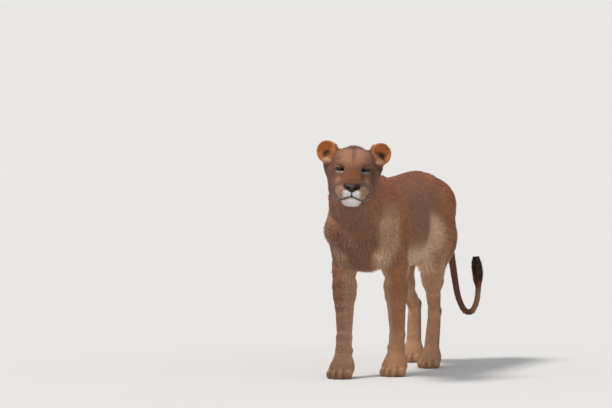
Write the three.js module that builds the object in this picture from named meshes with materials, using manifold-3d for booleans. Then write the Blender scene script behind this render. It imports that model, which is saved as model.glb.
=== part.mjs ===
// A life-size lioness standing in mid stride, her head turned to the left.
// Millimetres, Z up. She faces -Y and her left side is +X.
//
// The body is one smooth field: rounded cones and eggs laid along her limbs and
// blended into each other. The field is meshed in a few pieces, finer on the
// head and paws, and the pieces are parted with thin flat cuts.
import * as THREE from 'three';
import Module from 'manifold-3d';

const wasm = await Module();
wasm.setup();

// ---------------------------------------------------------------- driving sizes
const GAP = 0.3; // clearance left by every cut
const BODY_MESH = { step: 27, flatness: 2.2 }; // on the trunk and neck
const LEG_MESH = { step: 16, flatness: 1.7 };
const HEAD_MESH = { step: 11, flatness: 0.85 };
const EAR_MESH = { step: 7, flatness: 0.95 };
const EYE_RADIUS = 17.5;
const EYE_AT = [57, 13, -1]; // in the head's frame
const TAIL_SIDES = 9;
const TAIL_STEPS = 3;
const FAR = 6000; // longer than anything here

// Place of the bridge between the eyes, and how the head is turned about X, Y, Z.
const HEAD_AT = [76, -472, 964];
const HEAD_TURN = [0, 3, 18];

// Sections of the trunk from breast to rump: [y, top, bottom, half width].
const TRUNK = [
  [-200, 790, 610, 62],
  [-130, 850, 545, 105],
  [-40, 888, 500, 132],
  [80, 884, 486, 150],
  [220, 872, 482, 160],
  [350, 869, 484, 164],
  [470, 877, 492, 156],
  [580, 885, 512, 142],
  [680, 880, 552, 128],
  [780, 846, 600, 112],
  [855, 796, 650, 74],
];

// Stride: the right fore and the left hind paws are forward. side is -1 on her right.
const FORE_LEGS = [
  { side: -1, point: [-98, -142, 665], elbow: [-108, -30, 505], wrist: [-90, -92, 188], paw: [-90, -122, 0], yaw: 0 },
  { side: 1, point: [98, -118, 660], elbow: [108, 32, 502], wrist: [92, 118, 190], paw: [92, 84, 0], yaw: 4 },
];
const HIND_LEGS = [
  { side: -1, hip: [-78, 735, 738], stifle: [-106, 700, 448], hock: [-90, 925, 262], paw: [-90, 905, 0], yaw: -4 },
  { side: 1, hip: [78, 735, 738], stifle: [120, 520, 505], hock: [96, 650, 256], paw: [94, 600, 0], yaw: 4 },
];

// The tail hangs behind her and its tip curls up: [x, y, z, radius].
const TAIL = [
  [0, 830, 790, 38],
  [6, 895, 765, 32],
  [20, 945, 704, 27],
  [36, 984, 628, 24],
  [48, 1012, 545, 21.5],
  [58, 1032, 458, 19.5],
  [68, 1044, 370, 18],
  [82, 1052, 290, 17],
  [110, 1056, 232, 16.5],
  [144, 1056, 228, 16],
  [168, 1055, 270, 16],
  [177, 1053, 328, 16],
  [177, 1051, 368, 20],
  [175, 1049, 408, 25],
  [171, 1047, 446, 24],
  [168, 1046, 476, 14],
];
const TAIL_ROOT = 3; // the tail leaves the field at this row
const TAIL_CUTS = [3, 5, 7, 11, 15];

// ---------------------------------------------------------------- vectors and frames
const plus = (a, b) => [a[0] + b[0], a[1] + b[1], a[2] + b[2]];
const minus = (a, b) => [a[0] - b[0], a[1] - b[1], a[2] - b[2]];
const times = (a, s) => [a[0] * s, a[1] * s, a[2] * s];
const dot = (a, b) => a[0] * b[0] + a[1] * b[1] + a[2] * b[2];
const mid = (a, b, t) => plus(a, times(minus(b, a), t));

// Columns of the turn about X, then Y, then Z, in degrees.
function turned([x, y, z]) {
  const euler = new THREE.Euler(x * Math.PI / 180, y * Math.PI / 180, z * Math.PI / 180, 'ZYX');
  const e = new THREE.Matrix4().makeRotationFromEuler(euler).elements;
  return [[e[0], e[1], e[2]], [e[4], e[5], e[6]], [e[8], e[9], e[10]]];
}

const makeFrame = (at, turn) => ({ at, axes: turned(turn) });
function toLocal({ at, axes }, p) {
  const from = minus(p, at);
  return [dot(axes[0], from), dot(axes[1], from), dot(axes[2], from)];
}
function toWorld({ at, axes }, p) {
  return plus(at, plus(times(axes[0], p[0]), plus(times(axes[1], p[1]), times(axes[2], p[2]))));
}
const STILL = makeFrame([0, 0, 0], [0, 0, 0]);

// ---------------------------------------------------------------- the field
// Each shape is a signed distance in mm, negative inside. add and cut blend it
// into the field over the width k. A shape's ball says where it can matter.
const shapes = [];
let frame = STILL;

function put({ distance, at, reach }, k, sign) {
  const here = frame;
  const local = here === STILL ? distance : (p) => distance(toLocal(here, p));
  shapes.push({ distance: local, at: toWorld(here, at), reach: reach + k, k, sign });
}
const add = (shape, k) => put(shape, k, 1);
const cut = (shape, k) => put(shape, k, -1);

const gapTo = (p, q) => Math.hypot(p[0] - q[0], p[1] - q[1], p[2] - q[2]);

function field(p) {
  let sum = 1e6;
  for (const { distance, at, reach, k, sign } of shapes) {
    const a = sum * sign;
    if (gapTo(p, at) - reach > a) continue;
    const b = distance(p);
    const blend = Math.max(k - Math.abs(a - b), 0) / k;
    sum = (Math.min(a, b) - blend * blend * k / 4) * sign;
  }
  return sum;
}

function ellipse(q, radii) {
  let near = 0;
  let slope = 0;
  for (let i = 0; i < q.length; i += 1) {
    const share = q[i] / radii[i];
    near += share * share;
    slope += share * share / (radii[i] * radii[i]);
  }
  return Math.sqrt(near) * (Math.sqrt(near) - 1) / Math.max(Math.sqrt(slope), 1e-9);
}

function egg(at, radii, turn = [0, 0, 0]) {
  const own = makeFrame(at, turn);
  return { distance: (p) => ellipse(toLocal(own, p), radii), at, reach: Math.max(...radii) };
}

// Cone with round ends from a to b.
function cone(a, ra, b, rb) {
  const along = minus(b, a);
  const length2 = dot(along, along);
  const distance = (p) => {
    const t = Math.min(1, Math.max(0, dot(minus(p, a), along) / length2));
    return gapTo(p, mid(a, b, t)) - ra - (rb - ra) * t;
  };
  return { distance, at: mid(a, b, 0.5), reach: Math.sqrt(length2) / 2 + Math.max(ra, rb) };
}

// Egg with a scooped side: the outer shell of an ear.
function bowl(at, radii, turn, scoopAt, scoopRadii) {
  const outer = egg(at, radii, turn);
  const scoop = egg(toWorld(makeFrame(at, turn), scoopAt), scoopRadii, turn);
  return { ...outer, distance: (p) => Math.max(outer.distance(p), -scoop.distance(p)) };
}

// Smooth curve through the rows of a table, keyed by the first column.
function readTable(rows, key) {
  let i = 0;
  while (i < rows.length - 2 && key > rows[i + 1][0]) i += 1;
  const before = rows[Math.max(i - 1, 0)];
  const [a, b] = [rows[i], rows[i + 1]];
  const after = rows[Math.min(i + 2, rows.length - 1)];
  const gap = b[0] - a[0];
  const t = Math.min(1, Math.max(0, (key - a[0]) / gap));
  return a.slice(1).map((value, c) => {
    const inSlope = (b[c + 1] - before[c + 1]) / (b[0] - before[0]) * gap;
    const outSlope = (after[c + 1] - value) / (after[0] - a[0]) * gap;
    const rise = b[c + 1] - value;
    return value + t * (inSlope + t * (3 * rise - 2 * inSlope - outSlope + t * (inSlope + outSlope - 2 * rise)));
  });
}

// Oval barrel along Y, a little narrower below than above.
function barrel(rows, taper) {
  const [first, last] = [rows[0][0], rows[rows.length - 1][0]];
  const distance = (p) => {
    const y = Math.min(last, Math.max(first, p[1]));
    const [top, bottom, width] = readTable(rows, y);
    const half = (top - bottom) / 2;
    const up = p[2] - (top + bottom) / 2;
    const wide = width * (1 + taper * Math.min(1, Math.max(-1, up / half)));
    const side = ellipse([p[0], up], [wide, half]);
    const past = Math.abs(p[1] - y);
    return past > 0 ? Math.hypot(Math.max(side, 0), past) : side;
  };
  return { distance, at: [0, (first + last) / 2, 700], reach: FAR };
}

// ---------------------------------------------------------------- trunk
function trunk() {
  add(barrel(TRUNK, 0.1), 1);
  // keel of the breast between the shoulders
  add(egg([0, -150, 640], [78, 78, 105], [-12, 0, 0]), 60);
  add(egg([0, -60, 545], [82, 120, 62], [8, 0, 0]), 50);
  // withers and the ridge of the back
  add(cone([0, -20, 868], 30, [0, 90, 862], 26), 50);
  add(cone([0, 90, 850], 30, [0, 700, 860], 30), 40);
  // croup and the points of the rump
  add(egg([0, 788, 768], [110, 120, 90], [24, 0, 0]), 60);
  for (const s of [-1, 1]) {
    add(cone([s * 58, 680, 832], 38, [s * 56, 838, 752], 48), 50);
    // floating ribs swell over the belly
    add(egg([s * 78, 260, 640], [88, 210, 118], [0, 0, s * -3]), 60);
    // loose skin of the flank, from the stifle up to the belly
    add(cone([s * 112, 470, 560], 42, [s * 122, 560, 600], 44), 60);
  }
  // loose belly skin
  add(egg([0, 380, 528], [100, 200, 50]), 60);
}

// ---------------------------------------------------------------- legs
function shoulder(s, point, elbow) {
  const blade = [s * 48, 15, 874];
  add(cone(blade, 26, mid(blade, point, 0.45), 60), 45);
  add(cone(mid(blade, point, 0.35), 62, point, 54), 50);
  add(cone([s * 76, 70, 800], 40, [s * 106, 55, 640], 60), 50);
  add(cone([s * 108, 55, 650], 58, plus(elbow, [s * 2, 28, 22]), 44), 40);
  add(cone(point, 60, plus(elbow, [0, -6, 12]), 54), 40);
}

function forearm(s, elbow, wrist) {
  add(cone(elbow, 54, mid(elbow, wrist, 0.4), 51), 28);
  add(cone(mid(elbow, wrist, 0.3), 53, wrist, 36), 24);
  // bulge of the extensor muscles in front, and the point of the elbow behind
  add(cone(plus(elbow, [s * 10, -14, -30]), 42, plus(mid(elbow, wrist, 0.55), [s * 4, -8, 0]), 34), 24);
  add(egg(plus(elbow, [0, 40, 18]), [26, 26, 34]), 24);
}

// Toes of a paw: [x, y] of each tip, with the toe's radius and the depth of the clefts.
function toes(tips, radius, clefts) {
  for (const [x, y] of tips) {
    add(cone([x * 0.72, -7, radius * 2.15], radius * 1.08, [x, y, radius + 1], radius), 18);
    add(egg([x, y - 6, radius - 1], [radius * 0.85, radius * 1.2, radius]), 10);
  }
  for (const x of clefts) {
    cut(cone([x * 1.06, -98, 20], 6, [x * 0.94, -56, 42], 2), 12);
  }
}

function forePaw(s, at, yaw, wrist) {
  frame = makeFrame(at, [0, 0, yaw]);
  const top = toLocal(frame, wrist);
  add(cone(top, 35, [0, 18, 74], 40), 5);
  add(cone(plus(top, [0, -4, -4]), 35, [0, 4, 62], 42), 6);
  add(egg([0, -10, 44], [52, 58, 38], [14, 0, 0]), 44);
  toes([[-41, -40], [-15, -63], [15, -63], [41, -40]], 20, [-28, 0, 28]);
  // heel pad, wrist pad and dew claw
  add(egg([0, 34, 16], [34, 24, 22]), 16);
  add(egg(plus(top, [s * 8, 36, -18]), [12, 13, 16]), 14);
  add(egg(plus(top, [s * -34, -10, -62]), [9, 14, 16]), 10);
  frame = STILL;
}

function thigh(s, hip, stifle, hock) {
  add(cone(hip, 86, mid(hip, stifle, 0.55), 88), 60);
  add(cone(mid(hip, stifle, 0.4), 90, stifle, 60), 40);
  // hamstrings from the point of the rump down to the calf
  const seat = [s * 66, 836, 722];
  const calf = mid(stifle, hock, 0.42);
  add(cone(seat, 62, plus(mid(seat, calf, 0.5), [s * 14, 10, 0]), 70), 60);
  add(cone(plus(mid(seat, calf, 0.4), [s * 12, 0, 0]), 66, plus(calf, [0, 22, 6]), 40), 50);
  add(cone(mid(hip, stifle, 0.8), 66, plus(stifle, [0, -16, 4]), 42), 34);
}

function shank(stifle, hock) {
  add(cone(stifle, 54, mid(stifle, hock, 0.4), 48), 34);
  add(cone(mid(stifle, hock, 0.3), 47, hock, 30), 28);
  // calf muscle running into the tendon of the heel
  const heel = plus(hock, [0, 26, 8]);
  add(cone(plus(mid(stifle, hock, 0.1), [0, 26, 4]), 42, plus(mid(stifle, hock, 0.55), [0, 24, 14]), 27), 24);
  add(cone(plus(mid(stifle, hock, 0.5), [0, 26, 16]), 22, heel, 17), 18);
}

function hindPaw(at, yaw, hock) {
  frame = makeFrame(at, [0, 0, yaw]);
  const top = toLocal(frame, hock);
  add(cone(plus(top, [0, 12, 4]), 29, [0, 22, 72], 31), 12);
  add(cone(top, 29, [0, 6, 62], 35), 14);
  add(egg([0, -9, 42], [45, 56, 35], [15, 0, 0]), 40);
  toes([[-35, -38], [-13, -60], [13, -60], [35, -38]], 18, [-24, 0, 24]);
  add(egg([0, 32, 15], [29, 24, 20]), 14);
  frame = STILL;
}

function legs() {
  for (const { side, point, elbow, wrist, paw, yaw } of FORE_LEGS) {
    shoulder(side, point, elbow);
    forearm(side, elbow, wrist);
    forePaw(side, paw, yaw, wrist);
  }
  for (const { side, hip, stifle, hock, paw, yaw } of HIND_LEGS) {
    thigh(side, hip, stifle, hock);
    shank(stifle, hock);
    hindPaw(paw, yaw, hock);
  }
}

// ---------------------------------------------------------------- neck and head
const headFrame = makeFrame(HEAD_AT, HEAD_TURN);

function neck() {
  const nape = toWorld(headFrame, [0, 150, 20]);
  const throat = toWorld(headFrame, [0, 95, -78]);
  const breast = [0, -90, 720];
  add(cone([0, -20, 800], 98, nape, 66), 60);
  add(cone(breast, 112, mid(breast, throat, 0.6), 92), 60);
  add(cone(mid(breast, throat, 0.4), 96, throat, 70), 50);
  // neck muscle running back onto each shoulder
  for (const s of [-1, 1]) {
    add(cone([s * 92, -60, 760], 50, mid([s * 92, -60, 760], throat, 0.6), 46), 60);
    // side of the neck in front of the shoulder
    add(cone([s * 94, -110, 716], 54, [s * 70, -215, 832], 46), 60);
  }
}

function head() {
  frame = headFrame;
  // braincase, crown and nape
  add(egg([0, 78, 14], [84, 108, 66]), 40);
  add(egg([0, 24, 16], [62, 50, 42], [-30, 0, 0]), 30);
  for (const s of [-1, 1]) {
    add(egg([s * 48, 72, 32], [42, 70, 51]), 26);
  }
  add(cone([0, 130, 22], 58, [0, 190, -12], 64), 40);
  // slope of the forehead, then the bridge of the nose, flat on top
  add(cone([0, 6, 14], 32, [0, -50, -24], 30), 24);
  for (const s of [-1, 1]) {
    add(cone([s * 15, -10, -2], 26, [s * 16, -106, -68], 20), 12);
    // side of the muzzle under the bridge
    add(egg([s * 24, -64, -80], [30, 50, 40]), 16);
  }
  add(cone([0, -10, -30], 44, [0, -90, -90], 38), 20);
  for (const s of [-1, 1]) {
    // brow, cheekbone and chewing muscle
    add(cone([s * 34, -10, 26], 15, [s * 62, 10, 20], 14), 18);
    add(cone([s * 56, 2, -34], 26, [s * 88, 70, -18], 26), 26);
    add(egg([s * 72, 72, -58], [38, 62, 62]), 34);
    // upper lip with its whisker pad
    add(egg([s * 31, -90, -101], [36, 43, 28], [0, 0, s * 14]), 13);
    add(cone([s * 46, -62, -88], 28, [s * 66, 14, -72], 34), 26);
    // jaw bone back to the cheek
    add(cone([s * 18, -78, -136], 24, [s * 62, 70, -104], 36), 22);
  }
  // nose pad, chin and throat
  add(egg([0, -118, -76], [32, 20, 17], [-16, 0, 0]), 8);
  add(egg([0, -90, -138], [42, 34, 19]), 14);
  add(egg([0, 20, -100], [58, 92, 50]), 34);
  for (const s of [-1, 1]) {
    // hollow of the eye
    cut(egg([s * 56, -14, -2], [20, 16, 13], [0, 0, s * 24]), 14);
    add(egg([s * 82, 96, 40], [38, 34, 36]), 24);
    // fold of the ear's lower rim, running down to the cheek
    add(cone([s * 118, 92, 30], 22, [s * 104, 84, -14], 20), 20);
    add(bowl([s * 120, 98, 67], [50, 30, 51], [-6, s * 12, s * 16], [0, -22, 4], [39, 31, 40]), 10);
  }
  frame = STILL;
}

function tailRoot() {
  for (let i = 1; i <= TAIL_ROOT; i += 1) {
    const [a, b] = [TAIL[i - 1], TAIL[i]];
    add(cone(a.slice(0, 3), a[3], b.slice(0, 3), b[3]), i === 1 ? 40 : 12);
  }
}

trunk();
neck();
legs();
head();
tailRoot();

// ---------------------------------------------------------------- meshing
// Surface net: one vertex in each grid cell that the surface passes through,
// one quad across each grid edge that it crosses.
function net([low, high], { step, flatness }) {
  const count = low.map((v, i) => Math.ceil((high[i] - v) / step) + 1);
  const stride = [1, count[0], count[0] * count[1]];
  const place = (cell) => plus(low, times(cell, step));
  const values = new Float64Array(count[0] * count[1] * count[2]).fill(step);
  eachCell([1, 1, 1], minus(count, [1, 1, 1]), (cell) => {
    values[dot(cell, stride)] = field(place(cell)) || 1e-6;
  });
  partTouching(values, count, stride);

  const points = [];
  const cellPoint = new Map();
  eachCell([0, 0, 0], minus(count, [1, 1, 1]), (cell) => {
    const crossings = cellCrossings(values, dot(cell, stride), stride);
    if (crossings.length === 0) return;
    const centre = times(crossings.reduce(plus), 1 / crossings.length);
    cellPoint.set(dot(cell, stride), points.length);
    points.push(settle(place(plus(cell, centre)), step));
  });

  const triangles = [];
  eachCell([0, 0, 0], minus(count, [1, 1, 1]), (cell) => {
    const here = dot(cell, stride);
    for (let axis = 0; axis < 3; axis += 1) {
      const inside = values[here] < 0;
      if (inside === values[here + stride[axis]] < 0) continue;
      const u = stride[(axis + 1) % 3];
      const v = stride[(axis + 2) % 3];
      const quad = [here - u - v, here - v, here, here - u].map((cellHere) => cellPoint.get(cellHere));
      pushQuad(triangles, points, inside ? quad : quad.reverse());
    }
  });
  return thinned(points, triangles, step, flatness);
}

function eachCell(from, to, visit) {
  for (let k = from[2]; k < to[2]; k += 1) {
    for (let j = from[1]; j < to[1]; j += 1) {
      for (let i = from[0]; i < to[0]; i += 1) visit([i, j, k]);
    }
  }
}

// Fills one corner where two bodies would only touch along a grid edge.
function partTouching(values, count, stride) {
  let found = true;
  while (found) {
    found = false;
    eachCell([0, 0, 0], minus(count, [1, 1, 1]), (cell) => {
      const here = dot(cell, stride);
      for (let axis = 0; axis < 3; axis += 1) {
        const u = stride[(axis + 1) % 3];
        const v = stride[(axis + 2) % 3];
        const ring = [here, here + u, here + u + v, here + v];
        const inside = ring.map((corner) => values[corner] < 0);
        if (inside[0] !== inside[2] || inside[1] !== inside[3] || inside[0] === inside[1]) continue;
        values[inside[0] ? ring[1] : ring[0]] = -1e-3;
        found = true;
      }
    });
  }
}

function cellCrossings(values, here, stride) {
  const crossings = [];
  for (let axis = 0; axis < 3; axis += 1) {
    for (let corner = 0; corner < 4; corner += 1) {
      const start = [0, 0, 0];
      start[(axis + 1) % 3] = corner & 1;
      start[(axis + 2) % 3] = corner >> 1;
      const a = values[here + dot(start, stride)];
      const b = values[here + dot(start, stride) + stride[axis]];
      if ((a < 0) === (b < 0)) continue;
      start[axis] = a / (a - b);
      crossings.push(start);
    }
  }
  return crossings;
}

// Moves a point onto the field's surface, at most a third of a step.
function settle(point, step) {
  let p = point;
  for (let round = 0; round < 2; round += 1) {
    const value = field(p);
    if (Math.abs(value) > step * 0.33) return point;
    const slope = [0, 1, 2].map((axis) => {
      const aside = [...p];
      aside[axis] += 1;
      return field(aside) - value;
    });
    p = minus(p, times(slope, value / Math.max(dot(slope, slope), 0.3)));
  }
  return p;
}

// Merges neighbouring vertices where the surface stays within the flatness.
function thinned(points, triangles, step, flatness) {
  const faces = [];
  for (let i = 0; i < triangles.length; i += 3) faces.push(triangles.slice(i, i + 3));
  const around = points.map(() => new Set());
  faces.forEach((face, f) => face.forEach((p) => around[p].add(f)));
  const errors = points.map(() => new Float64Array(11));
  for (const face of faces) {
    const normal = unitNormal(face.map((p) => points[p]));
    const plane = [...normal, -dot(normal, points[face[0]])];
    face.forEach((p) => addPlane(errors[p], plane));
  }
  for (const share of [0.15, 0.4, 1, 1]) {
    const limit = (flatness * share) ** 2;
    for (let a = 0; a < points.length; a += 1) {
      for (const b of neighbours(a, faces, around)) {
        if (b > a) tryMerge(a, b, { points, faces, around, errors, limit, step });
      }
    }
  }
  return packed(points, faces.filter((face) => face));
}

function addPlane(error, plane) {
  let slot = 0;
  for (let i = 0; i < 4; i += 1) {
    for (let j = i; j < 4; j += 1) {
      error[slot] += plane[i] * plane[j] * (i === j ? 1 : 2);
      slot += 1;
    }
  }
  error[slot] += 1;
}

// Mean squared distance of p from the planes merged so far.
function errorAt(error, p) {
  const q = [...p, 1];
  let slot = 0;
  let sum = 0;
  for (let i = 0; i < 4; i += 1) {
    for (let j = i; j < 4; j += 1) {
      sum += error[slot] * q[i] * q[j];
      slot += 1;
    }
  }
  return sum / error[slot];
}

function unitNormal([a, b, c]) {
  const normal = new THREE.Vector3(...minus(b, a)).cross(new THREE.Vector3(...minus(c, a)));
  return normal.normalize().toArray();
}

function neighbours(a, faces, around) {
  const found = new Set();
  for (const f of around[a]) faces[f].forEach((p) => found.add(p));
  found.delete(a);
  return found;
}

// Merges b into a when the mesh stays closed, smooth and close to the surface.
function tryMerge(a, b, { points, faces, around, errors, limit, step }) {
  if (!around[a].size || !around[b].size || gapTo(points[a], points[b]) > step * 3.5) return;
  const nearA = neighbours(a, faces, around);
  if (!nearA.has(b)) return;
  const shared = [...neighbours(b, faces, around)].filter((p) => nearA.has(p));
  if (shared.length !== 2) return;
  const sum = errors[a].map((v, i) => v + errors[b][i]);
  const target = settle(mid(points[a], points[b], 0.5), step);
  if (errorAt(sum, target) > limit) return;
  const moved = [...around[a], ...around[b]].filter((f) => !(faces[f].includes(a) && faces[f].includes(b)));
  for (const f of moved) {
    const old = faces[f].map((p) => points[p]);
    const now = faces[f].map((p) => (p === a || p === b ? target : points[p]));
    if (dot(unitNormal(old), unitNormal(now)) < 0.5 || thinness(now) < 0.12) return;
  }
  for (const f of [...around[b]]) {
    if (faces[f].includes(a)) {
      faces[f].forEach((p) => around[p].delete(f));
      faces[f] = null;
    } else {
      faces[f] = faces[f].map((p) => (p === b ? a : p));
      around[a].add(f);
    }
  }
  around[b].clear();
  points[a] = target;
  errors[a] = sum;
}

// Height of a triangle over its longest side: 0.87 when all sides are equal.
function thinness([a, b, c]) {
  const longest = Math.max(gapTo(a, b), gapTo(b, c), gapTo(c, a));
  const cross = new THREE.Vector3(...minus(b, a)).cross(new THREE.Vector3(...minus(c, a)));
  return cross.length() / (longest * longest);
}

function packed(points, faces) {
  const names = new Map();
  const coordinates = [];
  const triangles = faces.flat().map((p) => {
    if (!names.has(p)) {
      names.set(p, names.size);
      coordinates.push(...points[p]);
    }
    return names.get(p);
  });
  return solidOf(coordinates, triangles);
}

// Splits a quad along its shorter diagonal.
function pushQuad(triangles, points, [a, b, c, d]) {
  const across = (p, q) => Math.hypot(...minus(points[p], points[q]));
  if (across(a, c) < across(b, d)) triangles.push(a, b, c, a, c, d);
  else triangles.push(a, b, d, b, c, d);
}

function solidOf(coordinates, triangles) {
  return new wasm.Manifold(new wasm.Mesh({
    numProp: 3,
    vertProperties: new Float32Array(coordinates),
    triVerts: new Uint32Array(triangles),
  }));
}

// ---------------------------------------------------------------- cuts
// Everything on the side of a plane that its normal points away from.
function behind(point, normal) {
  const direction = new THREE.Vector3(...normal).normalize();
  const box = new THREE.BoxGeometry(FAR, FAR, FAR);
  box.translate(0, 0, -FAR / 2);
  const turn = new THREE.Quaternion().setFromUnitVectors(new THREE.Vector3(0, 0, 1), direction);
  box.applyQuaternion(turn);
  box.translate(...point);
  return closed(box);
}

// Solid of a closed geometry whose faces don't share vertices yet.
function closed(geometry) {
  const position = geometry.getAttribute('position');
  const seen = new Map();
  const coordinates = [];
  const names = [];
  for (let i = 0; i < position.count; i += 1) {
    const p = [position.getX(i), position.getY(i), position.getZ(i)];
    const key = p.map((v) => Math.round(v * 1000)).join();
    if (!seen.has(key)) {
      seen.set(key, seen.size);
      coordinates.push(...p);
    }
    names.push(seen.get(key));
  }
  const index = geometry.index ? [...geometry.index.array] : names.map((_, i) => i);
  return solidOf(coordinates, index.map((i) => names[i]));
}

// Region on the near side of a few planes, each [point, normal], grown by a margin.
function region(planes, margin = 0) {
  const halves = planes.map(([point, normal]) => {
    const unit = times(normal, 1 / Math.hypot(...normal));
    return behind(plus(point, times(unit, margin)), normal);
  });
  return halves.reduce((a, b) => a.intersect(b));
}

const flip = ([point, normal]) => [point, times(normal, -1)];

// ---------------------------------------------------------------- parting
const group = new THREE.Group();

const FLESH = { roughness: 0.85, metalness: 0 };
const LOOKS = {
  coat: { color: 0xa98560, ...FLESH },
  tuft: { color: 0x2c211b, ...FLESH },
  nose: { color: 0x6d4f4a, roughness: 0.5, metalness: 0 },
  eye: { color: 0x9a6a24, roughness: 0.15, metalness: 0 },
};

function show(name, solid, look = 'coat') {
  const { vertProperties, triVerts } = solid.getMesh();
  const geometry = new THREE.BufferGeometry();
  geometry.setAttribute('position', new THREE.BufferAttribute(vertProperties, 3));
  geometry.setIndex(new THREE.BufferAttribute(triVerts, 1));
  geometry.computeVertexNormals();
  const mesh = new THREE.Mesh(geometry, new THREE.MeshStandardMaterial(LOOKS[look]));
  mesh.name = name;
  group.add(mesh);
}

// Meshes of the stretches of the body, each a little longer than its nodes.
const boxAround = (at, half) => [minus(at, half), plus(at, half)];
const headPoint = (p) => toWorld(headFrame, p);
const headPlane = (point, normal) => [headPoint(point), minus(headPoint(normal), HEAD_AT)];

const body = net([[-250, -520, 400], [250, 1020, 1100]], BODY_MESH);
const skull = net(boxAround(headPoint([0, 40, -10]), [200, 190, 190]), HEAD_MESH);

// Planes are [point, normal]; the normal points out of the stretch that it bounds.
const FLOOR = [[0, 0, 0], [0, 0, -1]];
const HEAD_END = headPlane([0, 112, -10], [0, 0.894, -0.447]);
const NECK_END = [[0, -120, 740], [0, 0.81, -0.59]];
const CHEST_END = [[0, 330, 700], [0, 1, 0]];
const LOIN_END = [[0, 590, 700], [0, 1, 0.25]];
const SIDES = [[-1, 'right'], [1, 'left']];

const between = (solid, start, end) => solid.intersect(region([flip(start)], -GAP)).intersect(region([end]));

function foreLeg({ side: s, elbow, wrist, paw }, name) {
  const bounds = [
    [[s * 10, 0, 0], [-s, 0, 0]],
    [[s * 70, 0, 500], [-s * 0.62, 0, 0.78]],
    [plus(elbow, [0, 92, 0]), [0, 0.9, 0.43]],
  ];
  const ankle = [[0, 0, wrist[2] - 12], [0, 0, -1]];
  const leg = net([[paw[0] - 120, -230, -18], [paw[0] + 120, 260, 660]], LEG_MESH).intersect(region(bounds));
  show(`foreleg_${name}`, leg.intersect(region([ankle])));
  show(`forepaw_${name}`, between(leg, ankle, FLOOR));
  return region(bounds, GAP);
}

function hindLeg({ side: s, hip, stifle, hock, paw }, name) {
  const rise = minus(hip, stifle);
  const ahead = times([0, -rise[2], rise[1]], 1 / Math.hypot(rise[1], rise[2]));
  const bounds = [
    [[s * 10, 0, 0], [-s, 0, 0]],
    [plus(stifle, times(ahead, 85)), plus(ahead, [-s * 0.9, 0, 0])],
    [[s * 60, 800, 700], [-s * 0.7, 0, 0.71]],
    [[0, 905, 740], [0, 0.985, 0.17]],
  ];
  const knee = [mid(stifle, hock, 0.22), minus(hock, stifle)];
  const ankle = [[0, 0, hock[2] - 22], [0, 0, -1]];
  const [low, high] = [[Math.min(paw[0] - 110, s * 230), 400, -18], [Math.max(paw[0] + 110, s * 230), 1060, 800]];
  const leg = net([low, high], LEG_MESH).intersect(region(bounds));
  show(`thigh_${name}`, leg.intersect(region([knee])));
  show(`shank_${name}`, between(leg, knee, ankle));
  show(`hind_foot_${name}`, between(leg, ankle, FLOOR));
  return region(bounds, GAP);
}

// The tail's middle line, and the radius at a place along it counted in rows.
const tailLine = new THREE.CatmullRomCurve3(TAIL.map((row) => new THREE.Vector3(...row)));
function tailRadius(row) {
  const i = Math.min(Math.floor(row), TAIL.length - 2);
  return TAIL[i][3] + (TAIL[i + 1][3] - TAIL[i][3]) * (row - i);
}

// Everything below the end of the tail's root.
function tailCutter() {
  const down = tailLine.getTangent(TAIL_ROOT / (TAIL.length - 1)).toArray();
  return region([[TAIL[TAIL_ROOT].slice(0, 3), times(down, -1)], [[0, 940, 0], [0, -1, 0]]]);
}

// Round bar along the tail from one row to another, closed at both ends.
function tailLength(from, to) {
  const count = (to - from) * TAIL_STEPS;
  const positions = [];
  for (let i = 0; i <= count; i += 1) {
    const row = from + i / TAIL_STEPS;
    const along = tailLine.getTangent(row / (TAIL.length - 1));
    const at = tailLine.getPoint(row / (TAIL.length - 1));
    if (i === 0) at.addScaledVector(along, GAP);
    const side = new THREE.Vector3(1, 0.3, 0).cross(along).normalize();
    const up = along.clone().cross(side);
    for (let j = 0; j < TAIL_SIDES; j += 1) {
      const turn = j / TAIL_SIDES * 2 * Math.PI;
      const rim = side.clone().multiplyScalar(Math.cos(turn)).addScaledVector(up, Math.sin(turn));
      positions.push(at.clone().addScaledVector(rim, tailRadius(row)).toArray());
    }
  }
  const triangles = [];
  for (let i = 0; i < count; i += 1) {
    for (let j = 0; j < TAIL_SIDES; j += 1) {
      const [a, b] = [i * TAIL_SIDES + j, i * TAIL_SIDES + (j + 1) % TAIL_SIDES];
      const [c, d] = [b + TAIL_SIDES, a + TAIL_SIDES];
      triangles.push(a, b, c, a, c, d);
    }
  }
  const last = count * TAIL_SIDES;
  for (let j = 1; j < TAIL_SIDES - 1; j += 1) {
    triangles.push(0, j + 1, j, last, last + j, last + j + 1);
  }
  return solidOf(positions.flat(), triangles);
}

function showTail() {
  const names = ['tail_upper', 'tail_middle', 'tail_lower', 'tail_tuft'];
  names.forEach((name, i) => {
    show(name, tailLength(TAIL_CUTS[i], TAIL_CUTS[i + 1]), name === 'tail_tuft' ? 'tuft' : 'coat');
  });
}

function showTrunk(cutters) {
  const trunkSolid = cutters.reduce((solid, cutter) => solid.subtract(cutter), body);
  show('neck', between(body, HEAD_END, NECK_END));
  show('chest', between(trunkSolid, NECK_END, CHEST_END));
  show('loin', between(trunkSolid, CHEST_END, LOIN_END));
  show('rump', trunkSolid.intersect(region([flip(LOIN_END)], -GAP)).subtract(tailCutter()));
}

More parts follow.
